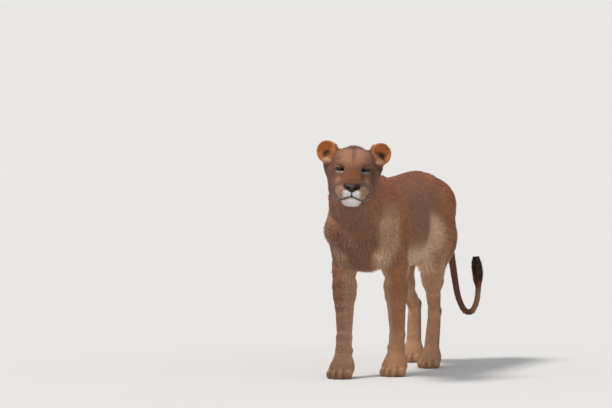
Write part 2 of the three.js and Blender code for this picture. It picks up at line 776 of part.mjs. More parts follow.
function showHead() {
  const nose = [
    headPlane([0, -104, -76], [0, 1, 0]),
    headPlane([0, -112, -60], [0, 0.45, 0.9]),
    headPlane([0, -120, -91], [0, -0.2, -1]),
    headPlane([37, -120, -70], [1, 0, -0.4]),
    headPlane([-37, -120, -70], [-1, 0, -0.4]),
  ];
  const jaw = [
    headPlane([0, -100, -121], [0, 0.08, 1]),
    headPlane([0, -34, -130], [0, 1, -0.3]),
  ];
  let solid = skull.intersect(region([HEAD_END]));
  show('nose', solid.intersect(region(nose)), 'nose');
  show('lower_jaw', solid.intersect(region(jaw)));
  solid = solid.subtract(region(nose, GAP)).subtract(region(jaw, GAP));
  for (const [s, name] of SIDES) {
    const ear = [headPlane([s * 88, 96, 56], [-s * 0.75, 0, -0.66])];
    const shell = net(boxAround(headPoint([s * 118, 96, 70]), [76, 76, 76]), EAR_MESH);
    show(`ear_${name}`, shell.intersect(region(ear)));
    solid = solid.subtract(region(ear, GAP));
    const eyeball = (radius) => {
      const ball = new THREE.SphereGeometry(radius, 14, 9);
      return closed(ball.translate(...headPoint([s * EYE_AT[0], EYE_AT[1], EYE_AT[2]])));
    };
    show(`eye_${name}`, eyeball(EYE_RADIUS), 'eye');
    solid = solid.subtract(eyeball(EYE_RADIUS + GAP));
  }
  show('head', solid);
}

const foreCutters = FORE_LEGS.map((leg, i) => foreLeg(leg, SIDES[i][1]));
const hindCutters = HIND_LEGS.map((leg, i) => hindLeg(leg, SIDES[i][1]));
showTrunk([...foreCutters, ...hindCutters]);
showHead();
showTail();

// Origin on the floor under the middle of her outline.
const outline = new THREE.Box3().setFromObject(group);
const middle = outline.getCenter(new THREE.Vector3());
group.position.set(-middle.x, -middle.y, -outline.min.z);

export default group;
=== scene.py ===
import math

import bpy
import numpy as np
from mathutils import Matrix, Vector


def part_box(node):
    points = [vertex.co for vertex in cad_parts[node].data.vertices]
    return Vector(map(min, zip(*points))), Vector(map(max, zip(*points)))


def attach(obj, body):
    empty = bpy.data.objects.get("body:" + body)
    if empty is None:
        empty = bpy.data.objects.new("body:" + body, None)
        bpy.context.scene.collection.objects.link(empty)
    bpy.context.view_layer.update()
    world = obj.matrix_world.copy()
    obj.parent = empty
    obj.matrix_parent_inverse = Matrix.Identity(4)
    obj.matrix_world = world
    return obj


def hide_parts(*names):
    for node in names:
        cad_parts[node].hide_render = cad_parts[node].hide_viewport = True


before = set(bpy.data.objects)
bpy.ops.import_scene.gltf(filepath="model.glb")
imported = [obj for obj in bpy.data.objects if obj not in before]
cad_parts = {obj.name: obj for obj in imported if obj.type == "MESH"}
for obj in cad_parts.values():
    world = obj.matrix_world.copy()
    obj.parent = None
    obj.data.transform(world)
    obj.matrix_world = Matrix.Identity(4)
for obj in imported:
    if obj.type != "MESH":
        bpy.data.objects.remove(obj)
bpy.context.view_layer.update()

bl_info = {
    "name": "Lioness model maker",
    "version": (1, 0, 0),
    "blender": (4, 5, 0),
    "location": "3D View > Sidebar > Lioness",
    "description": "Builds the skin, coat, eyes, nose and whiskers of a life-size standing lioness",
    "category": "Object",
}

MM = 0.001
FAR = 6000.0
SIDES = (-1, 1)  # her right is -X, her left is +X

# ------------------------------------------------------------------ anatomy sizes, in millimetres
HEAD_AT = (76, -472, 964)
HEAD_TURN = (0, 3, 18)
EYE_AT = (57, 13, -1)
EYE_RADIUS = 17.5
FACE_COAT_DEPTH = 1.9

# Sections of the trunk from breast to rump: y, top, bottom, half width.
TRUNK = (
    (-200, 790, 610, 62),
    (-130, 850, 545, 105),
    (-40, 888, 500, 132),
    (80, 884, 486, 150),
    (220, 872, 482, 160),
    (350, 869, 484, 164),
    (470, 877, 492, 156),
    (580, 885, 512, 142),
    (680, 880, 552, 128),
    (780, 846, 600, 112),
    (855, 796, 650, 74),
)
FORE_LEGS = (
    {
        "side": -1,
        "point": (-98, -142, 665),
        "elbow": (-108, -30, 505),
        "wrist": (-90, -92, 188),
        "paw": (-90, -122, 0),
        "yaw": 0,
    },
    {
        "side": 1,
        "point": (98, -118, 660),
        "elbow": (108, 32, 502),
        "wrist": (92, 118, 190),
        "paw": (92, 84, 0),
        "yaw": 4,
    },
)
HIND_LEGS = (
    {
        "side": -1,
        "hip": (-78, 735, 738),
        "stifle": (-106, 700, 448),
        "hock": (-90, 925, 262),
        "paw": (-90, 905, 0),
        "yaw": -4,
    },
    {
        "side": 1,
        "hip": (78, 735, 738),
        "stifle": (120, 520, 505),
        "hock": (96, 650, 256),
        "paw": (94, 600, 0),
        "yaw": 4,
    },
)
# The tail hangs behind her and its tip curls up: x, y, z, radius.
TAIL = (
    (0, 830, 790, 38),
    (6, 895, 765, 32),
    (20, 945, 704, 27),
    (36, 984, 628, 24),
    (48, 1012, 545, 21.5),
    (58, 1032, 458, 19.5),
    (68, 1044, 370, 18),
    (82, 1052, 290, 17),
    (110, 1056, 232, 16.5),
    (144, 1056, 228, 16),
    (168, 1055, 270, 16),
    (177, 1053, 328, 16),
    (177, 1051, 368, 20),
    (175, 1049, 408, 25),
    (171, 1047, 446, 24),
    (168, 1046, 476, 14),
)
TAIL_BARE_END = 12  # the tuft hides the tail past this row
TAIL_STEPS = 3  # rounded cones between two rows
# Opening between the lids, and the line where the lips meet, on her left side of the head.
SLIT_AT = (56, -6, -3)
SLIT_RADII = (17, 15, 4.2)
SLIT_TURN = (0, -11, 20)
LIPS = (
    (0, -128, -115),
    (16, -127, -120),
    (32, -119, -128),
    (49, -98, -132),
    (62, -62, -123),
    (71, -26, -109),
)
FLESH_NODES = (
    "head lower_jaw ear_right ear_left neck chest loin rump foreleg_right foreleg_left "
    "forepaw_right forepaw_left thigh_right thigh_left shank_right shank_left "
    "hind_foot_right hind_foot_left tail_upper tail_middle tail_lower"
).split()

# ------------------------------------------------------------------ mesh and coat settings
SOLE_LEVEL = 0.4  # the pads are flat here, just over the floor
# Where the grid starts along each axis, then spans of it: where each ends and its step.
GRID_SPANS = (
    (-206, ((-30, 3.8), (186, 2.3), (228, 3.2))),
    (-630, ((-440, 2.3), (-330, 3.4), (1100, 5.6))),
    (-8, ((60, 3.6), (820, 5.6), (1010, 2.4), (1106, 3.2))),
)
BLOCK = 8  # cells of the grid along one side of a block
CULL_MARGIN = 10.0
SETTLE_ROUNDS = 2
SETTLE_LIMIT = 1.6  # furthest a point moves in one round
SLOPE_STEP = 0.8
REGION_COUNT = 8
CHART_GAP = 4
# painted shade: the skin's colours are darkened, standing for the shade that falls on it under the coat
SKIN_PAINTED_SHADE = 0.7
# painted shade: each tuft is darker at its root, down in the coat, and lighter towards its tip
ROOT_PAINTED_SHADE = 0.76
TIP_SHADE = 1.12
COAT_SEED = 11
MOST_TRIANGLES = 199_000  # in one piece of the coat
TUFT_RINGS = 2
TUFT_TURN = 0.16  # how far tufts stray from the lie, in radians
SINK = 1.2  # how far the root of a tuft lies under the skin
RIDGE = 0.26  # height of a tuft's ridge as a share of its width
PATCH = 0.003  # size of a tuft's patch of the unwrap
LOCK_SEED = 5
LOCK_CORE = 9.0  # radius at which the locks of the tail leave its middle line
LOCK_RINGS = 4
WIDEST_LOCKS = 27.0
NOSE_STEP = 1.3
EYE_RINGS = 64
EYE_TURNS = 72
WHISKER_SEED = 3
WHISKER_ROWS = 4
WHISKERS_IN_ROW = 5
WHISKER_WIDTH = 0.45
WHISKER_RINGS = 7
ASIDE_FROM = 180

# ------------------------------------------------------------------ view and light settings
VIEW_TURN = 18.6
VIEW_RISE = 3.5
VIEW_DISTANCE = 45.0
VIEW_LENS = 588.0
AIM_ASIDE = -0.2873
AIM_UP = 0.7776
FLOOR_SIDE = 400
WORLD_COLOUR = (0.95, 0.97, 1.0, 1.0)
WORLD_STRENGTH = 0.56
# Name, way the light goes, how soft in degrees, strength, colour.
LAMPS = (
    ("key", (0.42, 0.5, -1.0), 13, 2.6, (1.0, 0.95, 0.88)),
    ("fill", (-0.9, 0.5, -0.5), 50, 0.35, (0.96, 0.98, 1.0)),
    ("front", (0.2, 1.0, -0.1), 40, 0.4, (1.0, 0.98, 0.96)),
)


# ------------------------------------------------------------------ vectors and frames
def vec(*numbers):
    return np.array(numbers, dtype=np.float32)


def mid(a, b, share):
    a, b = np.asarray(a, float), np.asarray(b, float)
    return a + (b - a) * share


def plus(a, b):
    return np.asarray(a, float) + np.asarray(b, float)


def length_of(vectors):
    return np.sqrt((vectors * vectors).sum(-1))


def unit(vectors):
    return vectors / np.maximum(length_of(vectors), 1e-9)[..., None]


def dot(a, b):
    return (a * b).sum(-1)


def smooth(values, low, high):
    share = np.clip((values - low) / (high - low), 0, 1)
    return share * share * (3 - 2 * share)


class Frame:
    """A place and a turn in degrees about X, Y and Z."""

    def __init__(self, at=(0, 0, 0), turn=(0, 0, 0)):
        x, y, z = (math.radians(angle) for angle in turn)
        about_x = [[1, 0, 0], [0, math.cos(x), -math.sin(x)], [0, math.sin(x), math.cos(x)]]
        about_y = [[math.cos(y), 0, math.sin(y)], [0, 1, 0], [-math.sin(y), 0, math.cos(y)]]
        about_z = [[math.cos(z), -math.sin(z), 0], [math.sin(z), math.cos(z), 0], [0, 0, 1]]
        self.at = np.array(at, np.float32)
        self.axes = (np.array(about_z) @ np.array(about_y) @ np.array(about_x)).astype(np.float32)

    def local(self, points):
        return (np.asarray(points, np.float32) - self.at) @ self.axes

    def world(self, points):
        return self.at + np.asarray(points, np.float32) @ self.axes.T


HEAD = Frame(HEAD_AT, HEAD_TURN)


# ------------------------------------------------------------------ solids of the field
def ellipse(points, radii):
    share = points / radii
    near = length_of(share)
    slope = length_of(share / radii)
    return near * (near - 1) / np.maximum(slope, 1e-9)


class Egg:
    def __init__(self, at, radii, turn=(0, 0, 0)):
        self.frame = Frame(at, turn)
        self.radii = vec(*radii)

    def __call__(self, points):
        return ellipse(self.frame.local(points), self.radii)


class Cone:
    """A rounded cone between two balls."""

    def __init__(self, start, start_radius, end, end_radius):
        self.start = vec(*start)
        self.along = vec(*end) - self.start
        self.long = float(self.along @ self.along)
        self.radii = (start_radius, end_radius - start_radius)

    def __call__(self, points):
        away = points - self.start
        share = np.clip(away @ self.along / self.long, 0, 1)
        return length_of(away - share[:, None] * self.along) - self.radii[0] - self.radii[1] * share


class Bowl:
    """An egg with a scoop taken out of it."""

    def __init__(self, at, radii, turn, scoop_at, scoop_radii):
        self.outer = Egg(at, radii, turn)
        self.scoop = Egg(Frame(at, turn).world(scoop_at), scoop_radii, turn)

    def __call__(self, points):
        return np.maximum(self.outer(points), -self.scoop(points))


class Barrel:
    """A tube along Y whose oval section follows a table."""

    def __init__(self, rows, taper):
        self.rows = np.array(rows, np.float32)
        self.taper = taper

    def section(self, keys):
        rows = self.rows
        row = np.clip(np.searchsorted(rows[:, 0], keys) - 1, 0, len(rows) - 2)
        before, start = rows[np.maximum(row - 1, 0)], rows[row]
        end, after = rows[row + 1], rows[np.minimum(row + 2, len(rows) - 1)]
        gap = (end[:, 0] - start[:, 0])[:, None]
        share = np.clip((keys - start[:, 0])[:, None] / gap, 0, 1)
        leaving = (end[:, 1:] - before[:, 1:]) / (end[:, :1] - before[:, :1]) * gap
        coming = (after[:, 1:] - start[:, 1:]) / (after[:, :1] - start[:, :1]) * gap
        rise = end[:, 1:] - start[:, 1:]
        bend = 3 * rise - 2 * leaving - coming + share * (leaving + coming - 2 * rise)
        return (start[:, 1:] + share * (leaving + share * bend)).T

    def __call__(self, points):
        along = np.clip(points[:, 1], self.rows[0, 0], self.rows[-1, 0])
        top, bottom, width = self.section(along)
        half = (top - bottom) / 2
        height = points[:, 2] - (top + bottom) / 2
        wide = width * (1 + self.taper * np.clip(height / half, -1, 1))
        side = ellipse(np.stack([points[:, 0], height], 1), np.stack([wide, half], 1))
        past = np.abs(points[:, 1] - along)
        return np.where(past > 0, np.hypot(np.maximum(side, 0), past), side)


class Placed:
    """A solid given in another frame."""

    def __init__(self, solid, own_frame):
        self.solid = solid
        self.frame = own_frame

    def __call__(self, points):
        return self.solid(self.frame.local(points))


class Model:
    """Solids blended one after another; each is added (sign 1) or cut away (sign -1)."""

    def __init__(self):
        self.solids = []
        self.frame = None

    def put(self, solid, blend, sign):
        if self.frame is not None:
            solid = Placed(solid, self.frame)
        self.solids.append((solid, float(blend), sign))

    def add(self, solid, blend):
        self.put(solid, blend, 1)

    def cut(self, solid, blend):
        self.put(solid, blend, -1)


def joined(total, solid, blend, sign):
    other = total * sign
    overlap = np.maximum(blend - np.abs(other - solid), 0) / blend
    return (np.minimum(other, solid) - overlap * overlap * blend / 4) * sign


# ------------------------------------------------------------------ trunk and legs
def model_trunk(body):
    body.add(Barrel(TRUNK, 0.1), 1)
    # keel of the breast between the shoulders
    body.add(Egg((0, -150, 640), (78, 78, 105), (-12, 0, 0)), 60)
    body.add(Egg((0, -60, 545), (82, 120, 62), (8, 0, 0)), 50)
    # withers and the ridge of the back
    body.add(Cone((0, -20, 868), 30, (0, 90, 862), 26), 50)
    body.add(Cone((0, 90, 850), 30, (0, 700, 860), 30), 40)
    # croup and the points of the rump
    body.add(Egg((0, 788, 768), (110, 120, 90), (24, 0, 0)), 60)
    for side in SIDES:
        body.add(Cone((side * 58, 680, 832), 38, (side * 56, 838, 752), 48), 50)
        # floating ribs swell over the belly
        body.add(Egg((side * 78, 260, 640), (88, 210, 118), (0, 0, side * -3)), 60)
        # loose skin of the flank, from the stifle up to the belly
        body.add(Cone((side * 112, 470, 560), 42, (side * 122, 560, 600), 44), 60)
    # loose belly skin
    body.add(Egg((0, 380, 528), (100, 200, 50)), 60)


def model_shoulder(body, side, point, elbow):
    blade = (side * 48, 15, 874)
    body.add(Cone(blade, 26, mid(blade, point, 0.45), 60), 45)
    body.add(Cone(mid(blade, point, 0.35), 62, point, 54), 50)
    body.add(Cone((side * 76, 70, 800), 40, (side * 106, 55, 640), 60), 50)
    body.add(Cone((side * 108, 55, 650), 58, plus(elbow, (side * 2, 28, 22)), 44), 40)
    body.add(Cone(point, 60, plus(elbow, (0, -6, 12)), 54), 40)


def model_forearm(body, side, elbow, wrist):
    body.add(Cone(elbow, 54, mid(elbow, wrist, 0.4), 51), 28)
    body.add(Cone(mid(elbow, wrist, 0.3), 53, wrist, 36), 24)
    # bulge of the extensor muscles in front, and the point of the elbow behind
    bulge = plus(elbow, (side * 10, -14, -30))
    body.add(Cone(bulge, 42, plus(mid(elbow, wrist, 0.55), (side * 4, -8, 0)), 34), 24)
    body.add(Egg(plus(elbow, (0, 40, 18)), (26, 26, 34)), 24)


def model_toes(body, tips, radius, clefts):
    for x, y in tips:
        body.add(Cone((x * 0.72, -7, radius * 2.15), radius * 1.08, (x, y, radius + 1), radius), 18)
        body.add(Egg((x, y - 6, radius - 1), (radius * 0.85, radius * 1.2, radius)), 10)
    front = min(y for _, y in tips) - radius * 1.16
    for x in clefts:
        ahead = front + abs(x) * 0.36
        body.cut(Cone((x * 1.04, ahead, 8), 7, (x * 0.98, ahead + 12, radius * 2.1), 3), 8)


def model_fore_paw(body, side, paw, yaw, wrist):
    body.frame = Frame(paw, (0, 0, yaw))
    top = body.frame.local(wrist)
    body.add(Cone(top, 33, (0, 18, 74), 40), 12)
    body.add(Cone(plus(top, (0, -4, -4)), 33, (0, 4, 62), 42), 12)
    body.add(Egg((0, -10, 44), (52, 58, 38), (14, 0, 0)), 44)
    model_toes(body, ((-41, -40), (-15, -63), (15, -63), (41, -40)), 20, (-28, 0, 28))
    # heel pad, wrist pad and dew claw
    body.add(Egg((0, 34, 16), (34, 24, 22)), 16)
    body.add(Egg(plus(top, (side * 8, 36, -18)), (12, 13, 16)), 14)
    body.add(Egg(plus(top, (side * -34, -10, -62)), (9, 14, 16)), 10)
    body.frame = None


def model_thigh(body, side, hip, stifle, hock):
    body.add(Cone(hip, 86, mid(hip, stifle, 0.55), 88), 60)
    body.add(Cone(mid(hip, stifle, 0.4), 90, stifle, 60), 40)
    # hamstrings from the point of the rump down to the calf
    seat = (side * 66, 836, 722)
    calf = mid(stifle, hock, 0.42)
    body.add(Cone(seat, 62, plus(mid(seat, calf, 0.5), (side * 14, 10, 0)), 70), 60)
    body.add(Cone(plus(mid(seat, calf, 0.4), (side * 12, 0, 0)), 66, plus(calf, (0, 22, 6)), 40), 50)
    body.add(Cone(mid(hip, stifle, 0.8), 66, plus(stifle, (0, -16, 4)), 42), 34)


def model_shank(body, stifle, hock):
    body.add(Cone(stifle, 54, mid(stifle, hock, 0.4), 48), 34)
    body.add(Cone(mid(stifle, hock, 0.3), 47, hock, 30), 28)
    # calf muscle running into the tendon of the heel
    heel = plus(hock, (0, 26, 8))
    calf = plus(mid(stifle, hock, 0.1), (0, 26, 4))
    body.add(Cone(calf, 42, plus(mid(stifle, hock, 0.55), (0, 24, 14)), 27), 24)
    body.add(Cone(plus(mid(stifle, hock, 0.5), (0, 26, 16)), 22, heel, 17), 18)


def model_hind_paw(body, paw, yaw, hock):
    body.frame = Frame(paw, (0, 0, yaw))
    top = body.frame.local(hock)
    body.add(Cone(plus(top, (0, 12, 4)), 29, (0, 22, 72), 31), 12)
    body.add(Cone(top, 29, (0, 6, 62), 35), 14)
    body.add(Egg((0, -9, 42), (45, 56, 35), (15, 0, 0)), 40)
    model_toes(body, ((-35, -38), (-13, -60), (13, -60), (35, -38)), 18, (-24, 0, 24))
    body.add(Egg((0, 32, 15), (29, 24, 20)), 14)
    body.frame = None


def model_legs(body):
    for leg in FORE_LEGS:
        model_shoulder(body, leg["side"], leg["point"], leg["elbow"])
        model_forearm(body, leg["side"], leg["elbow"], leg["wrist"])
        model_fore_paw(body, leg["side"], leg["paw"], leg["yaw"], leg["wrist"])
    for leg in HIND_LEGS:
        model_thigh(body, leg["side"], leg["hip"], leg["stifle"], leg["hock"])
        model_shank(body, leg["stifle"], leg["hock"])
        model_hind_paw(body, leg["paw"], leg["yaw"], leg["hock"])


# ------------------------------------------------------------------ neck, head and tail
def model_neck(body):
    nape = HEAD.world((0, 150, 20))
    throat = HEAD.world((0, 95, -78))
    breast = (0, -90, 720)
    body.add(Cone((0, -20, 800), 98, nape, 66), 60)
    body.add(Cone(breast, 112, mid(breast, throat, 0.6), 92), 60)
    body.add(Cone(mid(breast, throat, 0.4), 96, throat, 70), 50)
    # neck muscle running back onto each shoulder
    for side in SIDES:
        start = (side * 92, -60, 760)
        body.add(Cone(start, 50, mid(start, throat, 0.6), 46), 60)
        # side of the neck in front of the shoulder
        body.add(Cone((side * 94, -110, 716), 54, (side * 70, -215, 832), 46), 60)


def model_head(body):
    body.frame = HEAD
    # braincase, crown and nape
    body.add(Egg((0, 78, 14), (84, 108, 66)), 40)
    body.add(Egg((0, 24, 16), (62, 50, 42), (-30, 0, 0)), 30)
    for side in SIDES:
        body.add(Egg((side * 48, 72, 32), (42, 70, 51)), 26)
    body.add(Cone((0, 130, 22), 58, (0, 190, -12), 64), 40)
    # bridge of the nose, flat on top
    body.add(Cone((0, 6, 14), 32, (0, -50, -24), 30), 24)
    for side in SIDES:
        body.add(Cone((side * 15, -10, -2), 26, (side * 16, -106, -68), 20), 12)
        # side of the muzzle under the bridge
        body.add(Egg((side * 24, -64, -80), (30, 50, 40)), 16)
    body.add(Cone((0, -10, -30), 44, (0, -90, -90), 38), 20)
    for side in SIDES:
        model_cheek(body, side)
    # nose pad, chin and throat
    body.add(Egg((0, -118, -76), (32, 20, 17), (-16, 0, 0)), 8)
    body.add(Egg((0, -90, -138), (42, 34, 19)), 14)
    body.add(Egg((0, 20, -100), (58, 92, 50)), 34)
    for side in SIDES:
        # hollow of the eye, then the ear on its base
        body.cut(Egg((side * 56, -14, -2), (20, 16, 13), (0, 0, side * 24)), 14)
        body.add(Egg((side * 82, 96, 40), (38, 34, 36)), 24)
        # fold of the ear's lower rim, running down to the cheek
        body.add(Cone((side * 118, 92, 30), 22, (side * 104, 84, -14), 20), 20)
        ear_turn = (-6, side * 12, side * 16)
        ear = Bowl((side * 120, 98, 67), (50, 30, 51), ear_turn, (0, -22, 4), (39, 31, 40))
        body.add(ear, 10)
    body.frame = None


def model_cheek(body, side):
    # brow, cheekbone and chewing muscle
    body.add(Cone((side * 34, -10, 26), 15, (side * 62, 10, 20), 14), 18)
    body.add(Cone((side * 56, 2, -34), 26, (side * 88, 70, -18), 26), 26)
    body.add(Egg((side * 72, 72, -58), (38, 62, 62)), 34)
    # upper lip with its whisker pad
    body.add(Egg((side * 31, -90, -101), (36, 43, 28), (0, 0, side * 14)), 13)
    body.add(Cone((side * 46, -62, -88), 28, (side * 66, 14, -72), 34), 26)
    # jaw bone back to the cheek
    body.add(Cone((side * 18, -78, -136), 24, (side * 62, 70, -104), 36), 22)


def tail_line():
    """Places and radii along the tail, on one smooth curve through the table's rows."""
    rows = np.array([(row, *place) for row, place in enumerate(TAIL)], float)
    curve = Barrel(rows, 0)
    return np.stack(curve.section(np.arange(0, len(TAIL) - 1 + 1e-6, 1 / TAIL_STEPS)), 1)


def model_tail(body):
    line = tail_line()
    for step in range(1, len(line) - TAIL_STEPS):
        start, end = line[step - 1], line[step]
        core = 1 if step <= TAIL_BARE_END * TAIL_STEPS else 0.45
        blend = 40 if step <= TAIL_STEPS else 1
        body.add(Cone(start[:3], start[3] * core, end[:3], end[3] * core), blend)


def model_face_details(body):
    """Lids, nostrils and the lines of the mouth, on top of the skin."""
    body.frame = HEAD
    for side in SIDES:
        ball = (side * EYE_AT[0], EYE_AT[1], EYE_AT[2])
        body.add(Egg(ball, (EYE_RADIUS + 2.2,) * 3), 7)
        # folds of the upper and lower lid
        body.cut(Cone((side * 38, -10, 12), 2, (side * 66, 2, 14), 2), 5)
        body.cut(Cone((side * 40, -12, -17), 2, (side * 66, 2, -13), 2), 5)
        slit_at = (side * SLIT_AT[0], SLIT_AT[1], SLIT_AT[2])
        slit_turn = (0, side * SLIT_TURN[1], side * SLIT_TURN[2])
        body.cut(Egg(slit_at, SLIT_RADII, slit_turn), 2)
        # nostril with its slit to the side
        body.cut(Egg((side * 16, -135, -79), (7.5, 9, 5), (0, side * 20, side * 20)), 3)
        body.cut(Cone((side * 20, -134, -80), 2.6, (side * 33, -118, -73), 1.4), 3)
        # lip line from under the nose to the corner of the mouth
        for start, end in zip(LIPS, LIPS[1:]):
            near = (side * start[0], start[1], start[2])
            body.cut(Cone(near, 3.2, (side * end[0], end[1], end[2]), 3.2), 3)
    # groove below the nose
    body.cut(Cone((0, -135, -90), 2.6, (0, -129, -116), 2.6), 3)
    body.frame = None


# ------------------------------------------------------------------ how deep the coat is
def coat_depth(points):
    """How far the skin lies under the tips of the coat."""
    head = HEAD.local(points)
    near = 1 - smooth(length_of(head - vec(0, 20, -10)), 175, 250)
    near *= 1 - smooth(head[:, 1], 120, 200)
    low = smooth(points[:, 2], 120, 480)
    tail = smooth(points[:, 1], 900, 960)
    depth = 3.2 + 3.8 * low
    depth = depth + (4.0 - depth) * tail
    return depth + (FACE_COAT_DEPTH - depth) * near


# ------------------------------------------------------------------ meshing the field
CORNERS = [(i, j, k) for i in (0, 1) for j in (0, 1) for k in (0, 1)]
EDGES = [
    (a, b)
    for a in range(8)
    for b in range(a + 1, 8)
    if sum(p != q for p, q in zip(CORNERS[a], CORNERS[b])) == 1
]


class Groups:
    """Points sorted into balls, so a solid far from a ball is skipped for its points."""

    def __init__(self, centres, reach):
        self.centres = centres
        self.reach = reach


class Skin:
    """The field of the skin: the body without its coat, then the details of the face."""

    def __init__(self):
        self.body = Model()
        model_trunk(self.body)
        model_neck(self.body)
        model_legs(self.body)
        model_head(self.body)
        model_tail(self.body)
        self.face = Model()
        model_face_details(self.face)

    def __call__(self, points, group, groups):
        total = np.full(len(points), FAR, np.float32)
        total = self.apply(self.body, total, points, group, groups)
        total = total + coat_depth(points)
        return self.apply(self.face, total, points, group, groups)

    def apply(self, model, total, points, group, groups):
        for solid, blend, sign in model.solids:
            close = solid(groups.centres) < 1.5 * groups.reach + blend + CULL_MARGIN
            if not close.any():
                continue
            some = np.flatnonzero(close[group])
            total[some] = joined(total[some], solid(points[some]), blend, sign)
        return total


def graded(start, spans, coarse):
    """Grid lines from start through spans of (end, step), a whole number of blocks long."""
    lines = [start]
    for end, step in spans:
        begin = lines[-1]
        count = max(1, round((end - begin) / (step * coarse)))
        lines.extend([begin + (end - begin) * (n + 1) / count for n in range(count)])
    while (len(lines) - 1) % BLOCK:
        lines.append(lines[-1] + spans[-1][1] * coarse)
    return np.array(lines, np.float32)


def grid_points(axes):
    return np.stack(np.meshgrid(*axes, indexing="ij"), -1).reshape(-1, 3)


class Net:
    """A closed mesh of a field on a graded grid, finer over the face."""

    def __init__(self, field, lines):
        self.field = field
        self.lines = lines
        self.shape = [len(line) for line in lines]
        self.find_blocks()
        self.sample()
        self.place_points()
        self.join_quads()
        self.settle()

    def find_blocks(self):
        mids = [(line[:-1:BLOCK] + line[BLOCK::BLOCK]) / 2 for line in self.lines]
        halves = [(line[BLOCK::BLOCK] - line[:-1:BLOCK]) / 2 for line in self.lines]
        centres = grid_points(mids)
        reach = length_of(grid_points(halves))
        every = np.arange(len(centres))
        coarse = self.field(centres, every, Groups(centres, np.full(len(centres), FAR)))
        kept = np.abs(coarse) < 1.5 * reach + CULL_MARGIN + 8
        self.coarse = coarse.reshape([len(mid_line) for mid_line in mids])
        self.block_number = np.full(self.coarse.shape, -1, np.int32)
        self.block_number[kept.reshape(self.coarse.shape)] = np.arange(kept.sum())
        self.blocks = np.argwhere(kept.reshape(self.coarse.shape))
        self.groups = Groups(centres[kept], reach[kept])

    def sample(self):
        steps = np.arange(BLOCK + 1)
        index = [self.blocks[:, axis, None] * BLOCK + steps for axis in range(3)]
        shape = (len(self.blocks), BLOCK + 1, BLOCK + 1, BLOCK + 1)
        places = []
        for axis in range(3):
            sides = [BLOCK + 1 if a == axis else 1 for a in range(3)]
            places.append(np.broadcast_to(self.lines[axis][index[axis]].reshape([-1] + sides), shape))
        points = np.stack(places, -1).reshape(-1, 3)
        group = np.repeat(np.arange(len(self.blocks)), (BLOCK + 1) ** 3)
        values = self.field(points, group, self.groups).reshape(shape)
        dense = np.sign(self.coarse).astype(np.float32) * FAR
        for axis in range(3):
            dense = np.repeat(dense, BLOCK, axis)
        self.values = np.full(self.shape, FAR, np.float32)
        self.values[:-1, :-1, :-1] = dense
        self.values[
            index[0][:, :, None, None], index[1][:, None, :, None], index[2][:, None, None, :]
        ] = values

    def place_points(self):
        inside = self.values < 0
        count = np.zeros([side - 1 for side in self.shape], np.int8)
        for corner in CORNERS:
            count += inside[tuple(slice(c, c + n) for c, n in zip(corner, count.shape))]
        cells = np.argwhere((count > 0) & (count < 8))
        self.cell_number = np.full(count.shape, -1, np.int32)
        self.cell_number[cells[:, 0], cells[:, 1], cells[:, 2]] = np.arange(len(cells))
        corner_cells = [cells + np.array(corner) for corner in CORNERS]
        values = [self.values[c[:, 0], c[:, 1], c[:, 2]] for c in corner_cells]
        places = [
            np.stack([self.lines[axis][c[:, axis]] for axis in range(3)], 1) for c in corner_cells
        ]
        total = np.zeros((len(cells), 3), np.float32)
        hits = np.zeros(len(cells), np.float32)
        for a, b in EDGES:
            crossed = (values[a] < 0) != (values[b] < 0)
            share = np.where(crossed, values[a] / np.where(crossed, values[a] - values[b], 1), 0)
            point = places[a] + (places[b] - places[a]) * share[:, None]
            total += point * crossed[:, None]
            hits += crossed
        self.points = total / hits[:, None]
        blocks = cells // BLOCK
        self.group = self.block_number[blocks[:, 0], blocks[:, 1], blocks[:, 2]]

    def join_quads(self):
        inside = self.values < 0
        quads = []
        for axis in range(3):
            other = [a for a in range(3) if a != axis]
            low = [slice(1, -1)] * 3
            low[axis] = slice(0, -1)
            high = list(low)
            high[axis] = slice(1, None)
            here, there = inside[tuple(low)], inside[tuple(high)]
            first = np.argwhere(here != there)
            for side in other:
                first[:, side] += 1
            leaving = inside[first[:, 0], first[:, 1], first[:, 2]]
            ring = []
            for back, aside in ((0, 0), (1, 0), (1, 1), (0, 1)):
                cell = first.copy()
                cell[:, other[0]] -= back
                cell[:, other[1]] -= aside
                ring.append(self.cell_number[cell[:, 0], cell[:, 1], cell[:, 2]])
            quad = np.stack(ring, 1)
            turn = leaving if axis == 1 else ~leaving
            quad[turn] = quad[turn][:, ::-1]
            quads.append(quad)
        self.quads = np.concatenate(quads)

    def slope(self, points, group):
        sides = []
        for axis in range(3):
            away = np.zeros(3, np.float32)
            away[axis] = SLOPE_STEP
            ahead = self.field(points + away, group, self.groups)
            behind = self.field(points - away, group, self.groups)
            sides.append((ahead - behind) / (2 * SLOPE_STEP))
        return np.stack(sides, 1)

    def settle(self):
        for _ in range(SETTLE_ROUNDS):
            value = self.field(self.points, self.group, self.groups)
            slope = self.slope(self.points, self.group)
            steep = np.maximum(dot(slope, slope), 0.05)
            move = slope * (value / steep)[:, None]
            limit = np.minimum(1, SETTLE_LIMIT / np.maximum(length_of(move), 1e-6))
            self.points = self.points - move * limit[:, None]
        self.normals = unit(self.slope(self.points, self.group))
        del self.values, self.cell_number


def build_skin():
    coarse = 1.0
    lines = [graded(start, spans, coarse) for start, spans in GRID_SPANS]
    net = Net(Skin(), lines)
    net.points[:, 2] = np.maximum(net.points[:, 2], SOLE_LEVEL)
    return net


# ------------------------------------------------------------------ markings of skin and coat, with painted light and shade
def spot(points, at, radii, edge=0.35):
    """A soft-edged patch, 1 inside an egg and 0 outside it."""
    away = length_of((points - vec(*at)) / vec(*radii))
    return 1 - smooth(away, 1 - edge, 1 + edge)


def side_spot(across, height, at, radii, edge):
    """A soft-edged patch on flat measures, such as her outline seen from the side."""
    away = np.hypot((across - at[0]) / radii[0], (height - at[1]) / radii[1])
    return 1 - smooth(away, 1 - edge, 1 + edge)


